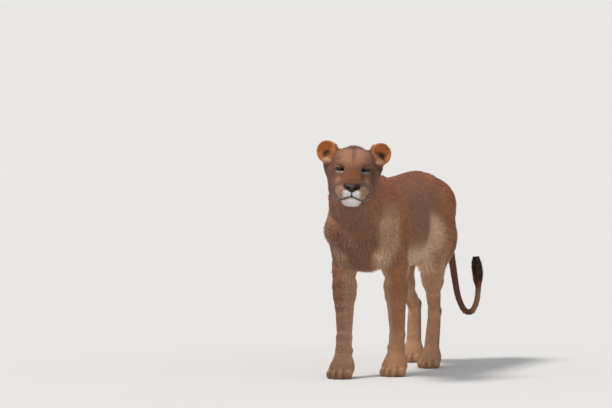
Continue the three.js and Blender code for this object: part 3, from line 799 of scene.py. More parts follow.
def aside_of(points):
    """How far aside a place stands when she is seen from the front, a little to her left."""
    turn = math.radians(VIEW_TURN)
    return np.abs(points[:, 0]) * math.cos(turn) + (points[:, 1] + ASIDE_FROM) * math.sin(turn)


def stripe(points, start, end, width, edge=0.5):
    """A soft-edged line, 1 within its width."""
    away = Cone(start, width, end, width)(points) / width
    return 1 - smooth(away, -edge, edge)


def front_line(points, start, end, width, edge=0.4):
    """A line drawn on the front of the muzzle, however far the muzzle stands out."""
    flat = points * vec(1, 0, 1)
    line = stripe(flat, (start[0], 0, start[2]), (end[0], 0, end[2]), width, edge)
    return line * (1 - smooth(points[:, 1], -76, -62))


class Paint:
    """Colours of points, washed over one after another with named colours."""

    def __init__(self, count, palette, base):
        self.palette = palette
        self.colours = np.tile(palette[base], (count, 1))

    def wash(self, mask, name, strength=1.0):
        share = (mask * strength)[:, None]
        self.colours += (self.palette[name] - self.colours) * share


def both_sides(head):
    """Head points folded onto her left side, as the markings match left and right."""
    folded = head.copy()
    folded[:, 0] = np.abs(folded[:, 0])
    return folded


def paint_body(paint, points, normals):
    x, y, z = points.T
    up = normals[:, 2]
    paint.wash(smooth(up, 0.35, 0.95) * smooth(z, 700, 850), "back", 0.55)
    flank = side_spot(y, z, (330, 690), (260, 150), 0.5)
    paint.wash(flank, "flank", 0.5)
    paint.wash(smooth(y, 600, 800) * smooth(z, 480, 700), "russet", 0.6)
    withers = side_spot(y, z, (60, 880), (190, 90), 0.5)
    paint.wash(withers, "russet", 0.5)
    under = smooth(-up, 0.15, 0.75) * (1 - smooth(z, 600, 700)) * smooth(z, 260, 420)
    paint.wash(under * smooth(y, -60, 160), "cream", 0.95)
    inner = smooth(-normals[:, 0] * np.sign(x), 0.0, 0.6) * (1 - smooth(z, 520, 640))
    paint.wash(inner * smooth(z, 40, 160), "cream", 0.4)
    # paler front of the thigh and belly: partly its own colour, partly painted light on the faces
    # turned towards the light
    front = smooth(-normals[:, 1], 0.0, 0.7) * smooth(y, 420, 520) * (1 - smooth(z, 600, 680))
    paint.wash(front, "pad", 0.75)
    aside = aside_of(points)
    behind = smooth(y, 300, 370)
    paint.wash(behind * side_spot(aside, z, (300, 490), (34, 105), 0.5), "cream", 0.9)
    # orange-cream patch on the front of the thigh: partly its own colour, partly painted light
    haunch = behind * side_spot(aside, z, (340, 625), (40, 80), 0.5)
    paint.wash(haunch, "cream", 0.8)
    paint.wash(haunch, "pad", 0.45)
    shin = side_spot(y, z, (560, 370), (90, 150), 0.6)
    paint.wash(shin * smooth(np.abs(x), 60, 110), "pad", 0.9)
    elbow = side_spot(y, z, (130, 520), (80, 50), 0.6)
    paint.wash(elbow, "cream", 0.4)
    paint.wash(1 - smooth(z, 60, 420), "sand", 0.6)
    # painted shadow: the breast under the head is darkened to the throat's greyish brown
    breast = smooth(-normals[:, 1], 0.1, 0.8) * (1 - smooth(y, -120, -20)) * (1 - smooth(z, 760, 880))
    paint.wash(breast, "throat", 0.5)
    # painted light: a pale sand patch on the shoulder where the light falls, strong on her left side
    # and faint on her right
    lit_shoulder = side_spot(aside, z, (138, 665), (46, 120), 0.5) * (1 - smooth(y, 60, 120))
    paint.wash(lit_shoulder * np.where(x > 0, 0.85, 0.25), "sand")
    # cream hair behind the elbow, its own colour, laid stronger on her left side as painted light
    armpit = side_spot(aside, z, (108, 552), (36, 52), 0.6) * (1 - smooth(y, 20, 80))
    paint.wash(armpit * np.where(x > 0, 0.75, 0.3), "cream")
    pads = smooth(-up, 0.5, 0.9) * (1 - smooth(z, 3, 9))
    paint.wash(pads, "dark", 0.9)
    tail = smooth(y, 900, 940)
    # darker brown along the tail: partly its own colour, partly painted shade
    paint.wash(tail, "tail", 0.85)
    paint.wash(tail * smooth(x, 130, 160) * (1 - smooth(z, 300, 350)), "sand", 0.4)
    paint.wash(tail * (x > 130) * smooth(z, 340, 362), "tuft", 1.0)


def paint_head(paint, points, normals):
    head = HEAD.local(points)
    near = near_head(head)
    half = both_sides(head)
    across, back, height = half.T
    paint.wash(near, "face", 0.75)
    paint.wash(near * spot(half, (0, 14, 54), (66, 76, 56), 0.5), "forehead", 0.85)
    midline = (1 - smooth(across, 0, 15)) * smooth(height, 8, 50) * (1 - smooth(back, 80, 140))
    paint.wash(near * midline, "stripe", 0.45)
    paint.wash(stripe(half, (44, -16, 24), (47, 2, 50), 5, 0.8), "bridge", 0.8)
    paint.wash(spot(half, (64, 2, 42), (12, 20, 7)), "stripe", 0.3)
    bridge = spot(half, (0, -70, -34), (36, 52, 44), 0.6)
    paint.wash(near * bridge, "bridge", 0.75)
    paint.wash(near * spot(half, (0, -104, -58), (36, 18, 22), 0.4), "stripe", 0.3)
    # round the eye
    paint.wash(near * spot(half, (62, -30, -52), (24, 44, 28), 0.6), "pad", 0.12)
    paint.wash(spot(half, (58, -16, -14.5), (18, 20, 5)), "white", 0.75)
    paint.wash(spot(half, (66, -6, 9), (12, 14, 4)), "cream", 0.25)
    beside = stripe(half, (36, -40, -30), (46, -88, -80), 4, 0.9)
    paint.wash(near * beside, "stripe", 0.4)
    paint.wash(near * stripe(half, (62, -30, -40), (64, -50, -78), 7, 0.9), "pad", 0.4)
    paint.wash(near * stripe(half, (80, -4, -30), (78, -22, -84), 5, 0.9), "stripe", 0.4)
    tear = np.maximum(
        stripe(half, (36, -22, -11), (38, -44, -36), 3), stripe(half, (38, -44, -36), (42, -62, -62), 2)
    )
    paint.wash(tear, "stripe", 0.75)
    paint.wash(stripe(half, (82, 8, -4), (92, 12, -40), 6, 0.8), "stripe", 0.6)
    lids = Egg(SLIT_AT, SLIT_RADII, SLIT_TURN)(half)
    paint.wash((1 - smooth(lids, 1.8, 4.6)) * (back < 12), "dark")
    # muzzle
    # greyish brown under the jaw: partly its own colour, partly painted shade under the head
    paint.wash(near * spot(half, (0, -10, -150), (62, 84, 36), 0.5), "throat", 0.7)
    pad = spot(half, (42, -96, -102), (40, 48, 30))
    paint.wash(near * pad, "pad", 0.85)
    paint.wash(spot(half, (18, -126, -105), (21, 28, 18), 0.35), "white", 1.0)
    for row, drop in enumerate((-90, -98, -106, -114)):
        line = front_line(half, (30 + 2 * row, 0, drop), (68, 0, drop + 7), 1.7, 0.9)
        paint.wash(line, "stripe", 0.7)
    paint.wash(near * spot(half, (0, -110, -143), (48, 40, 21), 0.5), "white", 0.9)
    for start, end in zip(LIPS, LIPS[1:]):
        line = np.maximum(stripe(half, start, end, 4.6, 0.3), front_line(half, start, end, 3.4))
        paint.wash(line * near, "dark", 0.95)
    paint.wash(front_line(half, (0, 0, -88), (0, 0, -117), 2.4), "dark", 0.95)
    paint.wash(nose_mask(head), "dark")
    paint_ears(paint, half, folded_facing(normals, head))


def folded_facing(normals, head):
    turned = normals @ HEAD.axes
    turned[:, 0] *= np.sign(head[:, 0])
    return turned


def paint_ears(paint, half, facing):
    """Orange rims, partly painted light shining through them; hollows darkened with painted shade, with
    pale hair; black behind.
    """
    # orange rims: partly their own colour, partly painted light shining through the thin ear
    ear = spot(half, (116, 98, 68), (66, 44, 66), 0.15) * smooth(half[:, 0], 72, 96)
    paint.wash(ear, "ear", 0.9)
    behind = smooth(facing[:, 1], 0.1, 0.5)
    paint.wash(ear * behind * (1 - smooth(half[:, 2], 70, 100)), "dark", 0.85)
    paint.wash(spot(half, (116, 98, 52), (26, 34, 24), 0.5) * (1 - behind), "bridge", 0.8)
    # painted shade: the depth of the ear's hollow is darkened nearly to black
    paint.wash(spot(half, (117, 98, 58), (20, 34, 14), 0.5) * (1 - behind), "dark", 0.95)
    paint.wash(spot(half, (112, 76, 32), (20, 18, 9), 0.5) * (1 - behind), "cream", 0.6)
    paint.wash(spot(half, (116, 76, 6), (12, 34, 18), 0.5), "stripe", 0.45)


def nose_mask(head):
    """1 on the leather of the nose: broad on top, narrowing down to the groove."""
    across, back, height = np.abs(head[:, 0]), head[:, 1], head[:, 2]
    width = 12 + 25 * smooth(height, -94, -76)
    mask = 1 - smooth(across, width - 1.5, width + 1.5)
    mask *= smooth(height, -97, -93) * (1 - smooth(height - 0.03 * across, -62, -58))
    return mask * (1 - smooth(back, -116, -108))


# the coat's markings together with the painted light and shade of paint_body and paint_head
def markings(points, normals, colours):
    paint = Paint(len(points), colours, "tawny")
    paint_body(paint, points, normals)
    paint_head(paint, points, normals)
    return paint.colours


# ------------------------------------------------------------------ the unwrap of her shape
def region_of(points):
    """0 trunk and neck, 1 head, 2 and 3 ears, 4 to 7 legs; the tail goes with the trunk's rear."""
    head = HEAD.local(points)
    x, y, z = points.T
    region = np.zeros(len(points), np.int32)
    region[(length_of(head - vec(0, 20, -10)) < 170) & (head[:, 1] < 130)] = 1
    for number, side in enumerate(SIDES):
        ear = (head[:, 0] * side > 90) & (head[:, 2] > 20) & (head[:, 1] > 50) & (head[:, 1] < 150)
        region[ear] = 2 + number
    low = (z < 540) & (y < 960)
    region[low & (y < 200)] = np.where(x[low & (y < 200)] < 0, 4, 5)
    region[low & (y > 430)] = np.where(x[low & (y > 430)] < 0, 6, 7)
    return region


class Unwrap:
    """Flat charts of her surface, one for each region and way of facing, packed in a square."""

    def __init__(self, points, normals, centres=None):
        chart, flat = self.flatten(points, normals, centres)
        self.corner, size = {}, {}
        for number in np.unique(chart):
            some = flat[chart == number]
            self.corner[number] = some.min(0)
            size[number] = some.max(0) - self.corner[number] + CHART_GAP
        self.pack(size)

    def flatten(self, points, normals, centres):
        region = region_of(points if centres is None else centres)
        on_head = (region >= 1) & (region <= 3)
        own = np.where(on_head[:, None], HEAD.local(points), points)
        facing = np.where(on_head[:, None], normals @ HEAD.axes, normals)
        axis = np.abs(facing).argmax(1)
        ahead = facing[np.arange(len(facing)), axis] > 0
        first = np.where(axis == 0, own[:, 1], own[:, 0])
        second = np.where(axis == 2, own[:, 1], own[:, 2])
        return region * 6 + axis * 2 + ahead, np.stack([first, second], 1)

    def pack(self, size):
        order = sorted(size, key=lambda number: -size[number][1])
        width = math.sqrt(sum(size[number][0] * size[number][1] for number in order)) * 1.15
        self.place, left, low, tall = {}, 0.0, 0.0, 0.0
        for number in order:
            if left and left + size[number][0] > width:
                left, low, tall = 0.0, low + tall, 0.0
            self.place[number] = np.array((left, low))
            left += size[number][0]
            tall = max(tall, size[number][1])
        self.side = max(width, low + tall) * 1.01

    def __call__(self, points, normals, centres=None):
        chart, flat = self.flatten(points, normals, centres)
        none = np.zeros(2)
        shifts = [self.place.get(n, none) - self.corner.get(n, none) for n in range(6 * REGION_COUNT)]
        return (flat + np.array(shifts)[chart] + CHART_GAP / 2) / self.side


# ------------------------------------------------------------------ the lie and size of the coat
# Place, way and reach on her left side; her right side is its mirror image.
BODY_LIE = (
    ((0, -170, 640), (0, 0.1, -1), 120),
    ((0, -60, 900), (0, 1, -0.3), 110),
    ((0, 200, 880), (0, 1, -0.05), 160),
    ((0, 520, 880), (0, 1, 0), 160),
    ((0, 780, 840), (0, 0.8, -0.6), 110),
    ((95, -240, 780), (0.1, 0.75, -0.7), 120),
    ((140, 30, 740), (0, 0.75, -0.6), 120),
    ((110, 20, 560), (0, 0.4, -1), 90),
    ((160, 280, 700), (0, 1, -0.35), 150),
    ((150, 560, 720), (0, 0.9, -0.5), 130),
    ((120, 480, 540), (0, 0.7, 0.1), 90),
    ((0, 300, 480), (0, 1, 0), 160),
    ((120, 720, 650), (0, 0.4, -1), 130),
    ((60, 900, 680), (0, 0.05, -1), 110),
    ((100, 60, 330), (0, 0.12, -1), 130),
    ((95, -20, 120), (0, -0.1, -1), 90),
    ((95, 0, 30), (0, -0.8, -0.6), 60),
    ((100, 700, 420), (0, 0.25, -1), 120),
    ((95, 780, 180), (0, -0.15, -1), 110),
    ((95, 750, 30), (0, -0.8, -0.6), 60),
)
HEAD_LIE = (
    ((0, -120, -60), (0, 1, 0.9), 22),
    ((0, -70, -30), (0, 1, 0.8), 34),
    ((0, -22, 24), (0, 0.6, 1), 30),
    ((0, 40, 84), (0, 1, 0.4), 46),
    ((0, 130, 90), (0, 1, -0.1), 60),
    ((55, -4, 32), (0.6, 0.7, 0.7), 26),
    ((62, -20, -28), (0.7, 1, -0.1), 28),
    ((92, 50, -30), (0.15, 1, -0.4), 46),
    ((70, 110, -60), (0, 1, -0.6), 60),
    ((14, -130, -104), (0.8, 0.1, -0.6), 14),
    ((46, -100, -98), (0.8, 1, -0.15), 26),
    ((0, -110, -150), (0, 0.3, -1), 30),
    ((48, -40, -130), (0.2, 1, -0.5), 36),
    ((0, 20, -150), (0, 1, -0.5), 60),
)


def blended_way(points, table):
    total = np.zeros_like(points)
    weight = np.full(len(points), 1e-9, np.float32)
    for place, way, reach in table:
        away = points - vec(*place)
        share = np.exp(-dot(away, away) / (2 * reach * reach)) + 1e-6 / (1 + length_of(away))
        total += share[:, None] * unit(vec(*way))
        weight += share
    return total / weight[:, None]


def near_head(head):
    near = 1 - smooth(length_of(head - vec(0, -20, -25)), 150, 210)
    return np.maximum(near * (1 - smooth(head[:, 1], 120, 190)), ear_mask(head))


def ear_mask(head):
    half = both_sides(head)
    return spot(half, (116, 98, 68), (66, 44, 66), 0.15) * smooth(half[:, 0], 78, 96)


def way_along_tail(points):
    best = np.full(len(points), FAR, np.float32)
    way = np.zeros_like(points)
    line = tail_line()
    for start, end in zip(line, line[1:]):
        away = Cone(start[:3], start[3], end[:3], end[3])(points)
        closer = away < best
        best[closer] = away[closer]
        way[closer] = unit(vec(*end[:3]) - vec(*start[:3]))
    return way


def lie_of(points, normals):
    """The way the hair points, flat on the skin."""
    left = np.where(points[:, :1] < 0, vec(-1, 1, 1), vec(1, 1, 1))
    way = blended_way(points * left, BODY_LIE) * left
    head = HEAD.local(points)
    left = np.where(head[:, :1] < 0, vec(-1, 1, 1), vec(1, 1, 1))
    on_head = blended_way(head * left, HEAD_LIE) * left
    from_base = unit(head * left - vec(70, 98, 22)) * left
    ear = ear_mask(head)[:, None]
    on_head = unit(on_head) * (1 - ear) + from_base * ear
    near = near_head(head)[:, None]
    way = unit(way) * (1 - near) + (unit(on_head) @ HEAD.axes.T) * near
    tail = smooth(points[:, 1], 885, 930)[:, None]
    way = way * (1 - tail) + way_along_tail(points) * tail
    return unit(way - normals * dot(way, normals)[:, None])


def blend_to(value, mask, target):
    return value + (target - value) * mask


class TuftSizes:
    """Length, width, lift in degrees and share of the skin covered, at each point."""

    def __init__(self, points, normals, sizes):
        y, z = points[:, 1], points[:, 2]
        head = HEAD.local(points)
        near = near_head(head)
        under = smooth(-normals[:, 2], 0.1, 0.7) * smooth(z, 380, 440) * (1 - smooth(z, 560, 660))
        neck = (1 - smooth(y, -160, -60)) * (1 - near)
        legs = 1 - smooth(z, 250, 560)
        paws = 1 - smooth(z, 60, 160)
        tail = smooth(y, 900, 950)
        face = near * (1 - smooth(head[:, 1], 10, 110))
        muzzle = near * (1 - smooth(head[:, 1], -85, -50))
        ear = near * ear_mask(head)
        half = both_sides(head)
        hollow = near * spot(half, (108, 80, 46), (24, 24, 24), 0.3)
        chin = near * spot(half, (0, -92, -158), (44, 40, 20), 0.4)
        steps = (
            (under, 1.45, 1.0, 13),
            (neck, 1.1, 1.0, 8),
            (legs, 0.52, 0.70, 4),
            (paws, 0.34, 0.56, 7),
            (tail, 0.46, 0.60, 3),
            (near, 0.46, 0.56, 8),
            (face, 0.30, 0.42, 8),
            (muzzle, 0.21, 0.34, 8),
            (ear, 0.19, 0.40, 4),
            (hollow, 0.50, 0.30, 14),
            (chin, 0.36, 0.36, 18),
        )
        self.length = np.ones(len(points), np.float32)
        self.width = np.ones(len(points), np.float32)
        self.lift = np.full(len(points), 5.5, np.float32)
        for mask, length, width, lift in steps:
            self.length = blend_to(self.length, mask, length)
            self.width = blend_to(self.width, mask, width)
            self.lift = blend_to(self.lift, mask, lift)
        self.length *= sizes.tuft_length / MM
        self.width *= sizes.tuft_width / MM
        bare = (1 - nose_mask(head)) * (1 - smooth(-normals[:, 2], 0.6, 0.9) * (z < 8))
        lids = Egg(SLIT_AT, SLIT_RADII, SLIT_TURN)(half)
        bare *= np.where(head[:, 1] < 12, smooth(lids, 2.5, 4.5), 1)
        tuft_end = smooth(points[:, 0], 90, 92) * smooth(z, 366, 376) * tail
        self.cover = bare * (1 - tuft_end) * (1 - 0.42 * face) / (self.length * self.width * 0.62)


# ------------------------------------------------------------------ tufts, locks and whiskers
class Strands:
    """Thin tapered solids of three sides round their centre lines, ending in a point."""

    def __init__(self, lines, normals, widths):
        count, rings = lines.shape[0], lines.shape[1] - 1
        columns = []
        for ring in range(rings):
            share = ring / rings
            along = unit(lines[:, ring + 1] - lines[:, ring])
            sides = unit(np.cross(normals, along))
            swell = (0.75 + 0.25 * min(1, 2 * share)) * (1 - max(0, share - 0.5) * 1.1)
            half = (widths * 0.5 * swell)[:, None]
            columns.append(lines[:, ring] - sides * half)
            columns.append(lines[:, ring] + normals * (widths * RIDGE)[:, None])
            columns.append(lines[:, ring] + sides * half)
        columns.append(lines[:, rings])
        self.points = np.stack(columns, 1).reshape(-1, 3)
        self.each = len(columns)
        offsets = (np.arange(count) * self.each)[:, None, None]
        self.triangles = (self.faces_of_one(rings)[None] + offsets).reshape(-1, 3)
        self.rings = rings
        self.count = count

    @staticmethod
    def faces_of_one(rings):
        faces = []
        for ring in range(rings - 1):
            for side in range(3):
                a, b = ring * 3 + side, ring * 3 + (side + 1) % 3
                faces += [(a, b, b + 3), (a, b + 3, a + 3)]
        last = (rings - 1) * 3
        faces += [(last + side, last + (side + 1) % 3, last + 3) for side in range(3)]
        return np.array(faces)

    def shares(self):
        """How far along its strand each point is."""
        one = [ring / self.rings for ring in range(self.rings) for _ in range(3)] + [1.0]
        return np.tile(np.array(one, np.float32), self.count)

    def patch_uv(self, places):
        """Each strand's small patch of the unwrap, its root at its place."""
        ring_uv = [(side / 2, ring / self.rings) for ring in range(self.rings) for side in range(3)]
        one = np.array(ring_uv + [(0.5, 1.0)], np.float32) * PATCH
        uv = (places[:, None, :] * (1 - PATCH) + one[None]).reshape(-1, 2)
        return uv[self.triangles.ravel()]


def lying_lines(roots, normals, ways, lengths, rises, sways, rings):
    """Centre lines that leave the skin along it, rise to their tips and sway to one side."""
    sides = np.cross(normals, ways)
    lines = []
    for ring in range(rings + 1):
        share = ring / rings
        place = roots + ways * (lengths * share)[:, None]
        place = place + normals * (rises * share**0.8 - SINK * (1 - share))[:, None]
        lines.append(place + sides * (sways * share * share)[:, None])
    return np.stack(lines, 1)


def scatter(net, count, density, rng):
    """Evenly spread root points on the mesh, more of them where the density is higher."""
    quads = net.quads
    triangles = np.concatenate([quads[:, [0, 1, 2]], quads[:, [0, 2, 3]]])
    order = np.argsort(np.tile(np.arange(len(quads)), 2), kind="stable")
    triangles = triangles[order]
    corners = net.points[triangles]
    area = length_of(np.cross(corners[:, 1] - corners[:, 0], corners[:, 2] - corners[:, 0])) / 2
    weight = area * density[triangles].mean(1)
    total = np.cumsum(weight, dtype=np.float64)
    marks = (np.arange(count) + rng.random(count)) / count * total[-1]
    chosen = triangles[np.searchsorted(total, marks)]
    share = np.sort(rng.random((count, 2)), 1)
    weights = np.stack([share[:, 0], share[:, 1] - share[:, 0], 1 - share[:, 1]], 1)[:, :, None]
    points = (net.points[chosen] * weights).sum(1).astype(np.float32)
    normals = unit((net.normals[chosen] * weights).sum(1)).astype(np.float32)
    return points, normals


def coat_piece_of(points):
    """The name of the coat piece each root belongs to."""
    region = region_of(points)
    y = points[:, 1]
    head = HEAD.local(points)
    names = np.full(len(points), "coat_chest", dtype="<U20")
    names[y < -70] = "coat_neck"
    names[y > 240] = "coat_loin"
    names[y > 570] = "coat_rump"
    names[y > 905] = "coat_tail"
    legs = ("coat_foreleg_right", "coat_foreleg_left", "coat_hind_leg_right", "coat_hind_leg_left")
    for number, name in enumerate(legs):
        names[region == 4 + number] = name
    names[region == 1] = "coat_head"
    names[(region == 1) & (head[:, 1] < 25)] = "coat_face"
    names[(region == 1) & (head[:, 1] < -50)] = "coat_muzzle"
    names[(region == 2) | (region == 3)] = "coat_ears"
    return names


# ------------------------------------------------------------------ making Blender meshes
def offset():
    """From the anatomy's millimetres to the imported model's place, in metres."""
    low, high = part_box("eye_left")
    eye = HEAD.world(EYE_AT) * MM
    return (np.array(low, np.float32) + np.array(high, np.float32)) / 2 - eye


def new_piece(name, points, faces, colours, uv=None):
    """A smooth-shaded mesh object from millimetre points, with a colour at each point."""
    mesh = bpy.data.meshes.new(name)
    points = np.asarray(points, np.float32) * MM + offset()
    count, sides = faces.shape
    mesh.vertices.add(len(points))
    mesh.vertices.foreach_set("co", points.astype(np.float32).ravel())
    mesh.loops.add(count * sides)
    mesh.loops.foreach_set("vertex_index", faces.astype(np.int32).ravel())
    mesh.polygons.add(count)
    mesh.polygons.foreach_set("loop_start", np.arange(0, count * sides, sides, dtype=np.int32))
    mesh.polygons.foreach_set("use_smooth", np.ones(count, bool))
    mesh.update(calc_edges=True)
    layer = mesh.color_attributes.new("coat", "FLOAT_COLOR", "POINT")
    rgba = np.ones((len(points), 4), np.float32)
    rgba[:, :3] = colours
    layer.data.foreach_set("color", rgba.ravel())
    if uv is not None:
        mesh.uv_layers.new(name="OFBake").data.foreach_set("uv", uv.astype(np.float32).ravel())
    mesh.validate()
    piece = bpy.data.objects.new(name, mesh)
    bpy.context.scene.collection.objects.link(piece)
    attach(piece, "root")
    return piece


def palette(colours):
    return {name: np.array(getattr(colours, name), np.float32) for name in colours.__annotations__}


# ------------------------------------------------------------------ materials
class Nodes:
    """Short ways to add nodes to a material."""

    def __init__(self, name):
        self.material = bpy.data.materials.new(name)
        self.material.use_nodes = True
        self.tree = self.material.node_tree
        self.shader = self.tree.nodes["Principled BSDF"]

    def new(self, kind, values=None, **settings):
        node = self.tree.nodes.new(kind)
        for key, value in settings.items():
            setattr(node, key, value)
        for key, value in (values or {}).items():
            if isinstance(value, bpy.types.NodeSocket):
                self.tree.links.new(value, node.inputs[key])
            else:
                node.inputs[key].default_value = value
        return node

    def shade(self, **values):
        for key, value in values.items():
            socket = self.shader.inputs[key.replace("_", " ")]
            if isinstance(value, bpy.types.NodeSocket):
                self.tree.links.new(value, socket)
            else:
                socket.default_value = value

    def noise(self, scale, detail=3.0, stretch=(1, 1, 1)):
        place = self.new("ShaderNodeTexCoord")
        mapping = self.new("ShaderNodeMapping", {"Vector": place.outputs["Object"], "Scale": stretch})
        values = {"Vector": mapping.outputs["Vector"], "Scale": scale, "Detail": detail}
        return self.new("ShaderNodeTexNoise", values).outputs["Fac"]

    def ranged(self, value, low, high, start=0.3, end=0.7):
        values = {"Value": value, "From Min": start, "From Max": end, "To Min": low, "To Max": high}
        return self.new("ShaderNodeMapRange", values).outputs["Result"]

    def bump(self, height, strength, distance):
        values = {"Height": height, "Strength": strength, "Distance": distance}
        return self.new("ShaderNodeBump", values).outputs["Normal"]

    def marked_colour(self, fine, broad):
        """The stored colour, varied by a fine and a broad mottle."""
        stored = self.new("ShaderNodeVertexColor", layer_name="coat").outputs["Color"]
        total = self.new("ShaderNodeMath", {0: fine, 1: broad}, operation="MULTIPLY").outputs[0]
        grey = self.new("ShaderNodeCombineColor", {"Red": total, "Green": total, "Blue": total})
        mix = self.new("ShaderNodeMix", {"Factor": 1.0}, data_type="RGBA", blend_type="MULTIPLY")
        factors = [socket for socket in mix.inputs if socket.type == "RGBA"]
        self.tree.links.new(stored, factors[0])
        self.tree.links.new(grey.outputs["Color"], factors[1])
        return [socket for socket in mix.outputs if socket.type == "RGBA"][0]


def hair_material(name, roughness, bump_scale, bump):
    nodes = Nodes(name)
    fine = nodes.ranged(nodes.noise(bump_scale, 4.0), 0.82, 1.14)
    broad = nodes.ranged(nodes.noise(9.0, 2.0), 0.93, 1.06)
    nodes.shade(
        Base_Color=nodes.marked_colour(fine, broad),
        Roughness=nodes.ranged(nodes.noise(60.0), roughness - 0.07, roughness + 0.08),
        Normal=nodes.bump(nodes.noise(bump_scale), bump, 0.001),
        Sheen_Weight=0.12,
        Sheen_Roughness=0.5,
        Specular_IOR_Level=0.22,
    )
    return nodes.material


def leather_material():
    nodes = Nodes("Nose leather")
    fine = nodes.ranged(nodes.noise(420.0, 4.0), 0.8, 1.15)
    broad = nodes.ranged(nodes.noise(60.0, 2.0), 0.85, 1.1)
    cells = nodes.new("ShaderNodeTexVoronoi", {"Scale": 900.0}, feature="DISTANCE_TO_EDGE")
    nodes.shade(
        Base_Color=nodes.marked_colour(fine, broad),
        Roughness=nodes.ranged(nodes.noise(200.0), 0.42, 0.58),
        Normal=nodes.bump(cells.outputs["Distance"], 0.5, 0.0006),
        Specular_IOR_Level=0.25,
    )
    return nodes.material


def eye_material():
    nodes = Nodes("Wet eye")
    fine = nodes.ranged(nodes.noise(900.0, 5.0), 0.78, 1.18)
    broad = nodes.ranged(nodes.noise(150.0, 2.0), 0.9, 1.08)
    nodes.shade(
        Base_Color=nodes.marked_colour(fine, broad),
        Roughness=nodes.ranged(nodes.noise(90.0), 0.06, 0.12),
        Normal=nodes.bump(nodes.noise(1200.0), 0.05, 0.0002),
        Coat_Weight=0.35,
        Coat_Roughness=0.03,
        Specular_IOR_Level=0.3,
    )
    return nodes.material


def floor_material():
    nodes = Nodes("Pale floor")
    value = nodes.ranged(nodes.noise(0.6, 3.0), 0.632, 0.644)
    grey = nodes.new("ShaderNodeCombineColor", {"Red": value, "Green": value, "Blue": value})
    nodes.shade(
        Base_Color=grey.outputs["Color"],
        Roughness=nodes.ranged(nodes.noise(4.0), 0.85, 0.95),
        Specular_IOR_Level=0.1,
    )
    return nodes.material


# ------------------------------------------------------------------ what a user can change
def colour_setting(name, description, red, green, blue):
    """A colour property given in display values from 0 to 255."""
    linear = [((v / 255 + 0.055) / 1.055) ** 2.4 for v in (red, green, blue)]
    return bpy.props.FloatVectorProperty(
        name=name, description=description, subtype="COLOR", size=3, min=0, max=1, default=linear
    )


def length_setting(name, description, metres):
    return bpy.props.FloatProperty(name=name, description=description, default=metres, unit="LENGTH")


def count_setting(name, description, count, least):
    return bpy.props.IntProperty(name=name, description=description, default=count, min=least)


class LionessSizes(bpy.types.PropertyGroup):
    """Sizes of the coat and the whiskers"""

    tuft_length: length_setting("Tuft length", "Length of a tuft on the flank", 0.030)
    tuft_width: length_setting("Tuft width", "Width of a tuft on the flank", 0.0044)
    tuft_count: count_setting("Tufts", "Number of tufts in the whole coat", 150000, 1000)
    tail_lock_length: length_setting("Tail lock length", "Length of a lock in the tail's tuft", 0.062)
    tail_lock_count: count_setting("Tail locks", "Number of locks in the tail's tuft", 2600, 100)
    whisker_length: length_setting("Whisker length", "Length of the longest whiskers", 0.065)


class LionessColours(bpy.types.PropertyGroup):
    """Colours of the coat, the nose and the eyes"""

    tawny: colour_setting("Tawny", "Most of the coat", 170, 110, 70)
    back: colour_setting("Back", "Along the back", 160, 86, 42)
    flank: colour_setting("Flank", "Greyer middle of the side", 124, 78, 54)
    russet: colour_setting("Russet", "Withers and rump", 168, 86, 42)
    cream: colour_setting("Cream", "Belly, inside of the legs and under the eyes", 248, 208, 172)
    # also laid on the shoulder as painted light
    sand: colour_setting("Sand", "Lower legs and breast", 210, 166, 130)
    face: colour_setting("Face", "Cheeks and sides of the head", 94, 54, 36)
    forehead: colour_setting("Forehead", "Greyish forehead", 194, 138, 104)
    stripe: colour_setting("Stripe", "Dark marks of the face", 52, 30, 23)
    bridge: colour_setting("Bridge", "Bridge of the nose", 146, 78, 36)
    pad: colour_setting("Whisker pad", "Pads beside the nose", 210, 158, 118)
    white: colour_setting("White", "Lips and chin", 255, 252, 248)
    # partly the throat's own colour, partly painted shade under the head; also the painted shadow on
    # the breast
    throat: colour_setting("Throat", "Under the jaw", 108, 80, 74)
    # partly the rims' own colour, partly painted light shining through them
    ear: colour_setting("Ear", "Rims of the ears", 208, 126, 64)
    dark: colour_setting("Dark", "Lips, eye rims, pads and backs of the ears", 11, 8, 7)
    # partly the tail's own colour, partly painted shade
    tail: colour_setting("Tail", "Darker brown of the tail", 100, 54, 32)
    tuft: colour_setting("Tail tuft", "Tuft at the tip of the tail", 18, 12, 10)
    nose_pink: colour_setting("Nose centre", "Mauve middle of the nose", 98, 66, 70)
    # a nearly black iris: the eye's own brown, darkened as painted shade under the brow
    iris: colour_setting("Iris", "Colour of the eyes", 34, 22, 12)


# ------------------------------------------------------------------ work shared by the operators
made = {}


def body_net():
    """The mesh of the skin, built once."""
    if "net" not in made:
        made["net"] = build_skin()
    return made["net"]


def coat_material():
    if "coat" not in made:
        made["coat"] = hair_material("Short coat", 0.72, 420.0, 0.5)
    return made["coat"]


class SkinOperator(bpy.types.Operator):
    """Build the skin, which stands for every solid of flesh"""

    bl_idname = "lioness.skin"
    bl_label = "Skin"

    def execute(self, context):
        net = body_net()
        colours = palette(context.scene.lioness_colours)
        # the skin's colours, darkened as painted shade under the coat
        shade = markings(net.points, net.normals, colours) * SKIN_PAINTED_SHADE
        corners = net.quads.ravel()
        centre = net.points[net.quads].mean(1)
        facing = unit(net.normals[net.quads].mean(1))
        unwrap = Unwrap(net.points[corners], np.repeat(facing, 4, 0), np.repeat(centre, 4, 0))
        uv = unwrap(net.points[corners], np.repeat(facing, 4, 0), np.repeat(centre, 4, 0))
        skin = new_piece("skin", net.points, net.quads, shade, uv)
        skin.data.materials.append(hair_material("Skin under the coat", 0.8, 500.0, 0.8))
        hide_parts(*FLESH_NODES)
        return {"FINISHED"}


